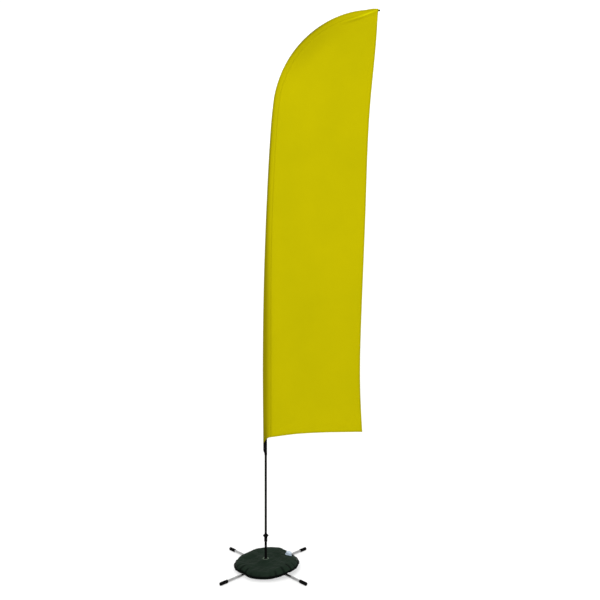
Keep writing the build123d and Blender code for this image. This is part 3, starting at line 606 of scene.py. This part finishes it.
def sleeve_half(run, inset, grow=0.0):
    """Half the sleeve's thickness at an inset from the mast line."""
    r, left = sleeve_radius(run) + grow, sleeve_left(run) + 2 * grow
    slack = 0.5 + 0.5 * math.tanh((1.95 - run) / 0.35)
    if inset < 0:
        reach = min(1.0, -inset / left)
        blend_y = (1 - slack) * math.sqrt(1 - reach**2) + slack * (1 - reach**1.6) ** 0.8
    else:
        blend_y = 0.5 + 0.5 * math.cos(math.pi * min(1.0, inset / POCKET))
    round_y = math.sqrt(max(0.0, r**2 - inset**2))
    puff = 4.0 * MM * bell(SLEEVE_END - run - 0.14, 0.11) * bell(inset - 0.022, 0.012)
    return max(blend_y * r, round_y, 0.0) + grow * 0.2 + puff


def sleeve_outline(run, grow):
    """Closed outline of the sleeve across the mast as (inset, y), moved outwards by grow."""
    left = sleeve_left(run) + 2 * grow
    points = []
    for k in range(SLEEVE_COLUMNS + 1):
        inset = -left + (POCKET + left) * (0.5 - 0.5 * math.cos(math.pi * k / SLEEVE_COLUMNS))
        points.append((inset, sleeve_half(run, inset, grow)))
    front_side = [(inset, -half - 0.25 * MM) for inset, half in points]
    back_side = [(inset, half + 0.25 * MM) for inset, half in reversed(points)]
    return front_side + back_side


def sleeve_ring(run, grow):
    """Ring of the sleeve in space, with slight crosswise gathers at the seam."""
    ring = []
    for inset, y in sleeve_outline(run, grow):
        near_seam = max(0.0, inset / POCKET) ** 2
        pucker = 0.5 * MM * math.sin(run * 330) * near_seam * (1 - near_seam)
        wave = 0.6 * MM * math.sin(run * 21 + 2.0 * math.sin(run * 5.3)) * (1 - near_seam)
        x, _, z = mast_point(run, inset)
        push = cloth_y(x, z, POCKET) * near_seam
        ring.append(mast_point(run, inset, y + math.copysign(pucker + wave, y) + push))
    return ring


def foot_run(inset):
    """Where the sleeve's slanted foot cuts it, as a distance along the mast."""
    t = min(1.0, max(0.0, (inset - FOOT_CUT[0]) / (POCKET - FOOT_CUT[0])))
    return FOOT_CUT[1] + (HEM_FOOT_Z - FOOT_CUT[1]) * (1 - (1 - t) ** 2.4) - MAST_FOOT


SLEEVE_START = FOOT_CUT[1] - MAST_FOOT - 0.001
SLANTED_RINGS = 8


def double_skin(name, outer, inner, material):
    """Closed cloth tube from rings of its outer and its inner skin, with both ends closed."""
    rows, columns = len(outer), len(outer[0])
    verts = [p for ring in outer for p in ring] + [p for ring in inner for p in ring]
    inside = rows * columns
    quads = grid_faces(rows, columns, wrap_columns=True)
    faces = quads + [tuple(inside + v for v in reversed(f)) for f in quads]
    for row in (0, rows - 1):
        for k in range(columns):
            a, b = row * columns + k, row * columns + (k + 1) % columns
            faces.append((a, b, inside + b, inside + a))
    return new_piece(name, verts, faces, material)


def sleeve_surface():
    """The sleeve as one closed cloth: outer skin, inner skin and both ends."""
    steps = int((SLEEVE_END - SLEEVE_START) / 0.012)
    outer, inner, shade, shine = [], [], [], []
    for i in range(steps + 1):
        run = SLEEVE_START + (SLEEVE_END - SLEEVE_START) * i / steps
        outer_ring, inner_ring = sleeve_ring(run, 0.0), sleeve_ring(run, -SLEEVE_LAYER)
        outline = sleeve_outline(run, 0.0)
        if i <= SLANTED_RINGS:  # slide the first rings up to the slanted foot
            for k, (inset, y) in enumerate(outline):
                foot = foot_run(inset)
                here = foot + (SLEEVE_START + 0.1 - foot) * i / SLANTED_RINGS
                outer_ring[k] = mast_point(here, inset, outer_ring[k][1])
                inner_ring[k] = mast_point(here, sleeve_outline(run, -SLEEVE_LAYER)[k][0], inner_ring[k][1])
        outer.append(outer_ring)
        inner.append(inner_ring)
        for inset, y in outline:
            x, _, z = mast_point(run, inset)
            # shade: the black pole showing through, plus painted shade at the bend and under the tip crease
            shade.append(pole_and_painted_shade(run, inset) + crease_shade(x, z))
            # shine: painted highlight along the crease at the tip
            shine.append(tip_highlight(x, z))
    piece = double_skin("sleeve_cloth", outer, inner, FLAG)
    store(piece, "shade", shade * 2)
    store(piece, "shine", shine * 2)
    return piece


sleeve = place(sleeve_surface(), "pole", "flag_fabric", "pole_sleeve")


# ---------------------------------------------------------------------------
# Hems and stitching
# ---------------------------------------------------------------------------
def hem_piece(name, line, node):
    """Folded hem: a flat U of cloth along a line of (x, z, inset, inward x, inward z)."""
    rings = []
    for i, (x, z, inset, ix, iz) in enumerate(line):
        ripple = 0.105 * math.sin(i * 1.7) + 0.06 * math.sin(i * 0.61)
        # Distance in from the edge and half thickness, in mm: outside of the fold, then inside
        outside = [(0.0, 0.55), (0.35, 0.95), (1.2, 1.15), (6, 1.2 + ripple), (10.4, 1.1), (11.6, 0.9)]
        inside = [(12.0, 0.55), (11.4, 0.42), (6, 0.42), (2, 0.40)]
        section = [(across * MM, half * MM) for across, half in outside + inside]
        ring = []
        for across, half in section:
            px, pz = x + ix * across, z + iz * across
            ring.append((px, cloth_y(px, pz, inset) - half, pz))
        for across, half in reversed(section):
            px, pz = x + ix * across, z + iz * across
            ring.append((px, cloth_y(px, pz, inset) + half, pz))
        rings.append(ring)
    piece = skin(name, rings, HEM)
    place(piece, "pole", "flag_fabric", node)
    return piece


def back_hem_line(steps=420):
    """Line of the back edge, from the bottom corner to the tip."""
    line = []
    for i in range(steps + 1):
        z = CORNER[1] + 1 * MM + (back_high.z - 2 * MM - CORNER[1]) * i / steps
        slope = (back_x(z + 0.01) - back_x(z - 0.01)) / 0.02
        size = math.hypot(1, slope)
        line.append((back_x(z), z, 0.5, -1 / size, slope / size))
    return line


def bottom_hem_line(steps=90):
    """Line of the bottom edge, from the sleeve to the bottom corner."""
    line, start = [], POCKET - 4 * MM
    for i in range(steps + 1):
        x = start + (CORNER[0] - start) * i / steps
        slope = (bottom_z(x + 0.005) - bottom_z(x - 0.005)) / 0.01
        size = math.hypot(1, slope)
        line.append((x, bottom_z(x), x, -slope / size, 1 / size))
    return line


back_line, bottom_line = back_hem_line(), bottom_hem_line()
back_hem = hem_piece("back_hem_fold", back_line, "back_hem")
bottom_hem = hem_piece("bottom_hem_fold", bottom_line, "bottom_hem")


# Rings along a stitch: place along it, thickness and rise, each as a share
STITCH_SHAPE = ((-0.5, 0.45, 0.1), (-0.25, 1.0, 0.8), (0.25, 1.0, 0.8), (0.5, 0.45, 0.1))


STITCH_SIDES = 6
STITCH_FACES = grid_faces(4, STITCH_SIDES, wrap_columns=True) + [tuple(range(6)), tuple(range(18, 24))]


def stations(points, pitch):
    """Places a pitch apart along a line of points, each with the line's direction."""
    travelled, next_at = 0.0, 0.0
    for before, after in zip(points, points[1:]):
        span = math.dist(before, after)
        along = Vector((after[0] - before[0], 0, after[2] - before[2])).normalized()
        while next_at < travelled + span:
            yield Vector(before).lerp(Vector(after), (next_at - travelled) / span), along
            next_at += pitch
        travelled += span


def stitch(centre, along, length, thick, lift):
    """Rings of one raised loop of thread; lift is its height off the cloth, to the back when above zero."""
    side, rise = Vector((along.z, 0, -along.x)), math.copysign(thick * 0.5, lift)
    points = []
    for step, size, up in STITCH_SHAPE:
        middle = centre + along * step * length + Vector((0, lift + up * rise, 0))
        for k in range(STITCH_SIDES):
            turn, r = 2 * math.pi * k / STITCH_SIDES, thick * 0.5 * size
            points.append(middle + side * math.cos(turn) * r + Vector((0, math.sin(turn) * r, 0)))
    return points


def stitch_row(name, points, length, gap, thick, lift):
    """A row of stitches along points on the cloth, on both of its faces."""
    verts, faces = [], []
    for centre, along in stations(points, length + gap):
        for face in (-1, 1):
            start = len(verts)
            verts += stitch(centre, along, length, thick, face * lift)
            faces += [tuple(start + v for v in f) for f in STITCH_FACES]
    place(new_piece(name, verts, faces, THREAD), "pole", "flag_fabric")


def inset_line(line, across):
    """Points on a hem's middle plane, this far in from the edge."""
    points = []
    for x, z, inset, ix, iz in line:
        px, pz = x + ix * across, z + iz * across
        points.append((px, cloth_y(px, pz, inset), pz))
    return points


def seam_line(steps=700):
    """Points along the seam that closes the sleeve."""
    points = []
    for i in range(steps):
        run = SEAM_FOOT_RUN + 2 * MM + (SLEEVE_END - 12 * MM - SEAM_FOOT_RUN) * i / (steps - 1)
        x, _, z = mast_point(run, POCKET - 2.2 * MM)
        points.append((x, cloth_y(x, z, POCKET), z))
    return points


STITCH_IN = 9.5 * MM  # hem's edge to its row of stitches
stitch_row("back_hem_stitching", inset_line(back_line, STITCH_IN), 3.2 * MM, 1.3 * MM, 0.7 * MM, 1.1 * MM)
stitch_row("bottom_hem_stitching", inset_line(bottom_line, STITCH_IN), 3.2 * MM, 1.3 * MM, 0.7 * MM, 1.1 * MM)
stitch_row("sleeve_seam_stitching", seam_line(), 3.4 * MM, 1.6 * MM, 0.8 * MM, 0.75 * MM)

# ---------------------------------------------------------------------------
# Black cuff at the sleeve's foot
# ---------------------------------------------------------------------------
CUFF_FOOT_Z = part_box("sleeve_cuff")[0].z
CUFF_COLUMNS = 36
bush_low, bush_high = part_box("pole_end_bush")
POLE_R = (bush_high.x - bush_low.x) / 2


def cuff_ring(z, shrink):
    """Ring of the cuff: round the pole at its foot, wider and loose to the left at its top."""
    t = min(1.0, max(0.0, (z - CUFF_FOOT_Z - 0.010) / 0.032))
    ease = t * t * (3 - 2 * t)
    centre = -5.2 * MM * ease
    half_x = POLE_R + 1.6 * MM + (14.2 * MM - POLE_R) * 0.92 * ease - shrink
    half_y = POLE_R + 1.9 * MM + 1.6 * MM * ease - shrink
    ring = []
    for k in range(CUFF_COLUMNS):
        turn = 2 * math.pi * k / CUFF_COLUMNS
        crease = 0.4 * MM * math.sin(5 * turn + 40 * z) * ease
        x = centre + (half_x + crease) * math.cos(turn)
        y = (half_y + crease) * math.sin(turn)
        if z > FOOT_CUT[1] - 12 * MM:  # tucked inside the sleeve
            room = sleeve_half(z - MAST_FOOT, x) - 1.3 * MM - shrink
            least = POLE_R + 0.3 * MM if abs(x) < 3 * MM else 0.6 * MM
            y = math.copysign(min(abs(y), max(least, room)), y)
        ring.append((x, y, z))
    return ring


def cuff_skin(shrink):
    """Rings of the cuff from its foot up, with a last one that slants up to the right."""
    rings = [cuff_ring(CUFF_FOOT_Z + 0.5 * MM + 5.5 * MM * i, shrink) for i in range(20)]
    rings.append([(x, y, z + 0.5 * (x + 18 * MM) + 16 * MM) for x, y, z in rings[-1]])
    return rings


cuff = double_skin("cuff_webbing", cuff_skin(0.0), cuff_skin(0.9 * MM), WEBBING)
place(cuff, "pole", "black_webbing", "sleeve_cuff")

# ---------------------------------------------------------------------------
# Rubber feet: ribbed sleeves with a rounded end
# ---------------------------------------------------------------------------
LEGS = {"front_right": -45, "back_right": 45, "back_left": 135, "front_left": 225}
FOOT_LENGTH = 70 * MM


def foot_profile(foot_r, tube_r):
    """Section of a foot as (radius, distance along it): open mouth, grip rings and a rounded end."""
    bore = tube_r + 0.05 * MM
    profile = [(bore, 2.0 * MM), (bore, 0.4 * MM), (tube_r + 0.6 * MM, 0.0)]
    profile += [(foot_r - 0.9 * MM, 0.0), (foot_r - 0.25 * MM, 0.4 * MM), (foot_r, 1.2 * MM)]
    for k in range(9):
        at, groove = 6.0 * MM + 5.2 * MM * k, foot_r - 0.7 * MM
        profile += [(foot_r, at), (groove, at + 0.5 * MM), (groove, at + 1.3 * MM), (foot_r, at + 1.8 * MM)]
    profile.append((foot_r, 63.5 * MM))
    for k in range(1, 9):
        turn = math.pi / 2 * k / 8
        profile.append((foot_r - 6 * MM + 6 * MM * math.cos(turn), 64 * MM + 5.9 * MM * math.sin(turn)))
    return profile + [(0.3 * MM, 69.9 * MM), (0.3 * MM, 66.0 * MM), (bore, 66.0 * MM)]


def rubber_foot(leg, angle):
    """Rubber foot pushed over the end of a leg."""
    low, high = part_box(f"leg_foot_{leg}")
    tube_low, tube_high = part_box(f"leg_tube_{leg}")
    out = Vector((math.cos(math.radians(angle)), math.sin(math.radians(angle)), 0))
    foot_r, tube_r = (high.z - low.z) / 2, (tube_high.z - tube_low.z) / 2
    corners = [Vector((x, y, 0)).dot(out) for x in (low.x, high.x) for y in (low.y, high.y)]
    start = max(corners) - foot_r - FOOT_LENGTH
    centre = out * start + Vector((0, 0, (low.z + high.z) / 2))
    foot = lathe(f"foot_rubber_{leg}", foot_profile(foot_r, tube_r), centre, out, RUBBER, segments=40)
    place(foot, f"leg_{leg}", "black_rubber", f"leg_foot_{leg}")


for leg_name, leg_angle in LEGS.items():
    rubber_foot(leg_name, leg_angle)

# ---------------------------------------------------------------------------
# Screw cap with a knurled rim
# ---------------------------------------------------------------------------
cap_joint = next(j for j in frame["joints"] if j["name"] == "cap_turn")
cap_centre, cap_axis = Vector(cap_joint["pos_m"]), Vector(cap_joint["axis"])
CAP_R, CAP_FOOT, CAP_TOP = 23.0, 3.6, 25.0
# Section of the cap as radius and height in mm: bore, skirt, rounded shoulder and sunk top
CAP_SHAPE = [(18.2, CAP_TOP - 3), (18.2, CAP_FOOT + 0.6), (19.0, CAP_FOOT), (CAP_R - 0.8, CAP_FOOT),
             (CAP_R, CAP_FOOT + 0.8), (CAP_R, 9.0), (CAP_R, 14.0), (CAP_R, 18.6), (CAP_R - 0.8, 21.2),
             (CAP_R - 2.6, 23.2), (CAP_R - 5.4, 24.5), (CAP_R - 8.5, CAP_TOP), (13.6, CAP_TOP),
             (12.8, CAP_TOP - 0.6), (0.4, CAP_TOP - 0.6), (0.4, CAP_TOP - 3)]


def knurl(radius, height, turn):
    """Grip ridges round the cap's side."""
    if radius > (CAP_R - 0.1) * MM and 4 * MM < height < 18 * MM:
        return radius - 0.7 * MM * (0.5 + 0.5 * math.cos(36 * turn))
    return radius


cap_section = [(r * MM, h * MM) for r, h in CAP_SHAPE]
cap = lathe("cap_screw", cap_section, cap_centre, cap_axis, CAP_WHITE, segments=216, ripple=knurl)
place(cap, "cap", "cap_white", "filler_cap")


# ---------------------------------------------------------------------------
# Water bag: starts near its filled shape, then settles over the legs as a cloth full of water
# ---------------------------------------------------------------------------
SPOKES = 128
TOP_POINTS, FOOT_POINTS = 30, 30
bag_low, bag_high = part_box("bag_top_panel")
eyelet_low, eyelet_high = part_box("bag_eyelet")
HOLE_R = (eyelet_high.x - eyelet_low.x) / 2 - 4.5 * MM
HOLE_Z = (eyelet_low.z + eyelet_high.z) / 2
SEAM_Z = bag_low.z + 0.4 * MM
CROWN_Z = bag_high.z
BAG_R = bag_high.x
leg_low, leg_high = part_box("leg_tube_front_right")
LEG_Z = (leg_low.z + leg_high.z) / 2
LEG_R = leg_high.z - LEG_Z
# How far the rim is drawn in over each leg; less than zero is let out
DRAWN = {"front_right": -12 * MM, "back_right": 12 * MM, "back_left": 12 * MM, "front_left": 5 * MM}


def spread(corners, count):
    """Points evenly spaced along a broken line."""
    line = np.array(corners, float)
    walked = np.r_[0, np.cumsum(np.hypot(*np.diff(line, axis=0).T))]
    at = np.linspace(0, walked[-1], count)
    return np.c_[np.interp(at, walked, line[:, 0]), np.interp(at, walked, line[:, 1])]


def bag_section():
    """Section of the full bag as (radius, z): over the top from the hole to the rim, and back under."""
    rim_r = BAG_R - 8 * MM
    top = [(HOLE_R, HOLE_Z), (0.034, HOLE_Z + 1 * MM), (0.060, CROWN_Z - 4 * MM), (0.090, CROWN_Z - 1 * MM),
           (0.120, CROWN_Z), (0.150, CROWN_Z - 2 * MM), (0.180, 0.0735), (0.205, 0.066), (0.225, 0.0565),
           (0.240, 0.046), (rim_r, SEAM_Z)]
    under = [(rim_r, SEAM_Z), (0.248, 0.019), (0.240, 0.009), (0.226, 0.0045), (0.200, 0.0036),
             (0.100, 0.0036), (0.084, 0.0045), (0.070, 0.014), (0.060, 0.032), (0.046, 0.052),
             (0.034, 0.062), (HOLE_R, HOLE_Z)]
    return np.r_[spread(top, TOP_POINTS), spread(under, FOOT_POINTS + 2)[1:-1]]


def bag_start():
    """Vertices of the bag before it settles: lobes between the legs, drawn in and lifted over each leg."""
    section, verts = bag_section(), []
    for k in range(SPOKES):
        turn = 2 * math.pi * k / SPOKES
        off_leg, leg = min((abs((turn - math.radians(angle) + math.pi) % (2 * math.pi) - math.pi), leg)
                           for leg, angle in LEGS.items())
        drawn = bell(off_leg, 0.22)
        for j, (r, z) in enumerate(section):
            outer = max(0.0, (r - 0.09) / 0.16)
            aside = abs(r * math.sin(off_leg))
            lean = 8 * MM * math.cos(turn) - 5 * MM * math.sin(turn)  # fuller to the right and the front
            reach = r + (5 * MM * (1 - drawn) - DRAWN[leg] * drawn + lean - 8 * MM) * outer**2
            if j < TOP_POINTS:
                height = z + 3 * MM * drawn * outer**1.5
            else:
                over_leg = LEG_Z + LEG_R * math.sqrt(max(0.0, 1 - (aside / (LEG_R + 3 * MM)) ** 2)) + 3.5 * MM
                over_leg = over_leg if aside < LEG_R + 3 * MM else 0.0
                shoulder = 4 * MM + 24 * MM * bell(max(0.0, aside - 6 * MM), 0.013)
                height = max(z, over_leg, shoulder)
            verts.append((reach * math.cos(turn), reach * math.sin(turn), height))
    return verts


section_points = TOP_POINTS + FOOT_POINTS
bag = new_piece("bag_skin", bag_start(), grid_faces(SPOKES, section_points, True, True), BAG)


def obstacle(name, verts, faces):
    """Temporary collision object for the cloth."""
    piece = new_piece(name, verts, faces, FLOOR, smooth=False)
    piece.modifiers.new("Collision", "COLLISION")
    piece.collision.thickness_outer = 1.0 * MM
    piece.collision.cloth_friction = 5.0
    return piece


def bag_obstacles():
    """Legs and floor that the bag lies on."""
    found = []
    for leg, angle in LEGS.items():
        out = Vector((math.cos(math.radians(angle)), math.sin(math.radians(angle)), 0))
        side = Vector((-out.y, out.x, 0))
        rings = [out * reach + (LEG_R + 0.3 * MM) * (side * math.cos(t) + Vector((0, 0, math.sin(t))))
                 + Vector((0, 0, LEG_Z)) for reach in np.linspace(0.03, 0.42, 14)
                 for t in np.linspace(0, 2 * math.pi, 16, endpoint=False)]
        ends = [tuple(range(16)), tuple(range(13 * 16, 14 * 16))]
        found.append(obstacle(f"stop_{leg}", rings, grid_faces(14, 16, wrap_columns=True) + ends))
    # Rows along x first, so that the floor's faces look up
    floor_grid = [(-0.6 + 0.06 * j, -0.6 + 0.06 * i, 0.0) for i in range(21) for j in range(21)]
    found.append(obstacle("stop_floor", floor_grid, grid_faces(21, 21)))
    return found


def held_points():
    """Vertices that don't move: the weld round the hole and the filler's flange."""
    held = [k * section_points + j for k in range(SPOKES)
            for j in (0, 1, 2, section_points - 3, section_points - 2, section_points - 1)]
    for i, v in enumerate(bag.data.vertices):
        beside = v.co - cap_centre
        if i % section_points < TOP_POINTS and (beside - cap_axis * beside.dot(cap_axis)).length < 0.029:
            held.append(i)
    return held


def settle_bag(frames):
    """Let the bag settle as cloth round a fixed volume of water, then keep the result."""
    scene = bpy.context.scene
    bm = bmesh.new()
    bm.from_mesh(bag.data)
    volume = abs(bm.calc_volume())
    bm.free()
    obstacles = bag_obstacles()
    bag.vertex_groups.new(name="held").add(held_points(), 1.0, "REPLACE")
    cloth = bag.modifiers.new("Cloth", "CLOTH")
    use = cloth.settings
    use.quality, use.mass, use.air_damping = 6, 0.0002, 2.0
    use.tension_stiffness, use.compression_stiffness, use.shear_stiffness = 60, 30, 18
    use.tension_damping = use.compression_damping = use.shear_damping = 5
    use.bending_stiffness, use.bending_damping = 0.02, 0.5
    use.vertex_group_mass = "held"
    use.use_pressure, use.uniform_pressure_force = True, 0.0
    use.use_pressure_volume, use.target_volume, use.pressure_factor = True, volume * 0.92, 600
    use.shrink_min = -0.045  # spare cloth, which wrinkles
    cloth.collision_settings.distance_min = 1.5 * MM
    scene.frame_start, scene.frame_end = 1, frames
    cloth.point_cache.frame_start, cloth.point_cache.frame_end = 1, frames
    for step in range(1, frames + 1):
        scene.frame_set(step)
    apply_modifiers(bag)
    for piece in obstacles:
        bpy.data.objects.remove(piece)
    scene.frame_set(1)


settle_bag(24)
rim = [bag.data.vertices[k * section_points + TOP_POINTS - 1].co.copy() for k in range(SPOKES)]
bag.modifiers.new("Smooth", "SUBSURF").levels = 1
bag.modifiers["Smooth"].render_levels = 1
apply_modifiers(bag)
bag.data.shade_smooth()


def pinch_rim():
    """Puckers that run in from the welded rim, with painted shade in their hollows."""
    # Angle in degrees, depth in mm and how far in each pucker starts, as a radius in metres
    puckers = [(196, 4, 0.20), (204, 6, 0.19), (217, 7, 0.16), (233, 7, 0.17), (246, 3, 0.21), (262, 4, 0.22),
               (281, 3, 0.22), (291, 5, 0.20), (306, 6, 0.18), (321, 7, 0.17), (334, 4, 0.20), (352, 5, 0.20),
               (16, 3, 0.22), (38, 5, 0.19), (52, 5, 0.19), (77, 3, 0.22), (103, 3, 0.22), (128, 5, 0.19),
               (143, 5, 0.19), (168, 4, 0.21)]
    dark = []
    for v in bag.data.vertices:
        r, turn = math.hypot(v.co.x, v.co.y), math.atan2(v.co.y, v.co.x)
        total, deepest = 0.0, 0.0
        for angle, depth, inner in puckers:
            off = (turn - math.radians(angle) + math.pi) % (2 * math.pi) - math.pi
            t = min(1.0, max(0.0, (r - inner) / 0.045))
            here = bell(off * r, 0.0085) * t * t
            total += 0.7 * depth * MM * here
            deepest = max(deepest, here * depth / 7)
        fade = min(1.0, max(0.0, (v.co.z - 0.010) / 0.012))
        # painted shade in each pucker's hollow
        dark.append(0.85 * deepest * fade)
        if r > 1e-6:
            v.co.x -= v.co.x / r * total * fade
            v.co.y -= v.co.y / r * total * fade
            v.co.z -= 0.5 * total * fade * min(1.0, max(0.0, (v.co.z - 0.045) / 0.02))
    store(bag, "crease", dark)


pinch_rim()
place(bag, "water_bag", "bag_skin", "bag_top_panel", "bag_bottom_panel", "water_ballast")


def rim_weld():
    """Welded edge round the bag's rim that droops and puckers, with a bead at its outer side."""
    rings = []
    for k, point in enumerate(rim):
        out = Vector((point.x, point.y, 0)).normalized()
        before, after = rim[k - 1], rim[(k + 1) % len(rim)]
        across = (after - before).normalized().cross(Vector((0, 0, 1)))
        out = (out + across).normalized() if across.dot(out) > 0 else out
        dip = Vector((0, 0, -0.75 + 0.30 * math.sin(k * 1.3) + 0.2 * math.sin(k * 2.9)))
        w = 4.0 + 1.6 * math.sin(k * 0.7) + 1.2 * math.sin(k * 1.9 + 1.0)  # wider and narrower in turn
        along = (out + dip).normalized()
        up = Vector((0, 0, 1)) - along * along.z
        section = ((-3.0, 0.7), (2.0, 0.7), (w + 4.2, 0.9), (w + 5.2, 1.1), (w + 6.3, 0.8), (w + 6.7, 0.0),
                   (w + 6.3, -0.8), (w + 5.2, -1.1), (w + 4.2, -0.9), (2.0, -0.7), (-3.0, -0.7))
        rings.append([point + along * (a * MM) + up.normalized() * (b * MM) for a, b in section])
    verts = [p for ring in rings for p in ring]
    return new_piece("bag_rim_weld", verts, grid_faces(len(rings), 11, True, True), BAG_EDGE)


place(rim_weld(), "water_bag", "bag_skin")


def one_side(piece):
    """Area of one side of a thin closed cloth."""
    return sum(p.area for p in piece.data.polygons) / 2


one_side(panel)
one_side(sleeve)


# ---------------------------------------------------------------------------
# Studio: pale floor that curves up into a backdrop, soft lights, camera
# ---------------------------------------------------------------------------
def studio_sweep(half_width=30.0, bend_y=3.5, bend_r=2.0, top_z=12.0):
    """Floor and backdrop in one, joined by a quarter round."""
    turns = [math.pi / 2 * k / 12 for k in range(1, 13)]
    profile = [(-half_width, 0.0), (bend_y, 0.0)]
    profile += [(bend_y + bend_r * math.sin(t), bend_r - bend_r * math.cos(t)) for t in turns]
    profile.append((bend_y + bend_r, top_z))
    verts = [(side * half_width, y, z) for y, z in profile for side in (-1, 1)]
    return new_piece("studio_sweep", verts, grid_faces(len(profile), 2), FLOOR)


studio_sweep()


def area_light(name, place_at, target, size, power):
    """Soft rectangular light that faces a point."""
    light = bpy.data.lights.new(name, "AREA")
    light.shape, light.size, light.size_y = "RECTANGLE", size, size
    light.energy = power
    lamp = bpy.data.objects.new(name, light)
    lamp.location = place_at
    lamp.rotation_euler = (Vector(target) - Vector(place_at)).to_track_quat("-Z", "Y").to_euler()
    bpy.context.scene.collection.objects.link(lamp)


def light_world(strength):
    """Even white light from all round."""
    world = bpy.data.worlds.new("studio world")
    world.use_nodes = True
    background = world.node_tree.nodes["Background"]
    background.inputs["Color"].default_value = (1, 1, 1, 1)
    background.inputs["Strength"].default_value = strength
    bpy.context.scene.world = world


def add_camera(place_at, lens):
    """Level camera that looks along y."""
    data = bpy.data.cameras.new("camera")
    data.lens, data.sensor_width = lens, 36.0
    camera = bpy.data.objects.new("camera", data)
    camera.location = place_at
    camera.rotation_euler = (math.pi / 2, 0, 0)
    bpy.context.scene.collection.objects.link(camera)
    bpy.context.scene.camera = camera


light_world(0.80)
area_light("key", (-2.5, -5.0, 6.0), (0.3, 0, 2.4), 4.0, 230)
area_light("fill", (4.5, -5.0, 2.2), (0.4, 0, 1.8), 4.0, 120)
area_light("back", (0.0, 2.0, 8.5), (0.0, 5.5, 3.5), 6.0, 195)
add_camera((0.278, -4.86, 2.166), 35.91)
bpy.context.scene.view_settings.view_transform = "Standard"
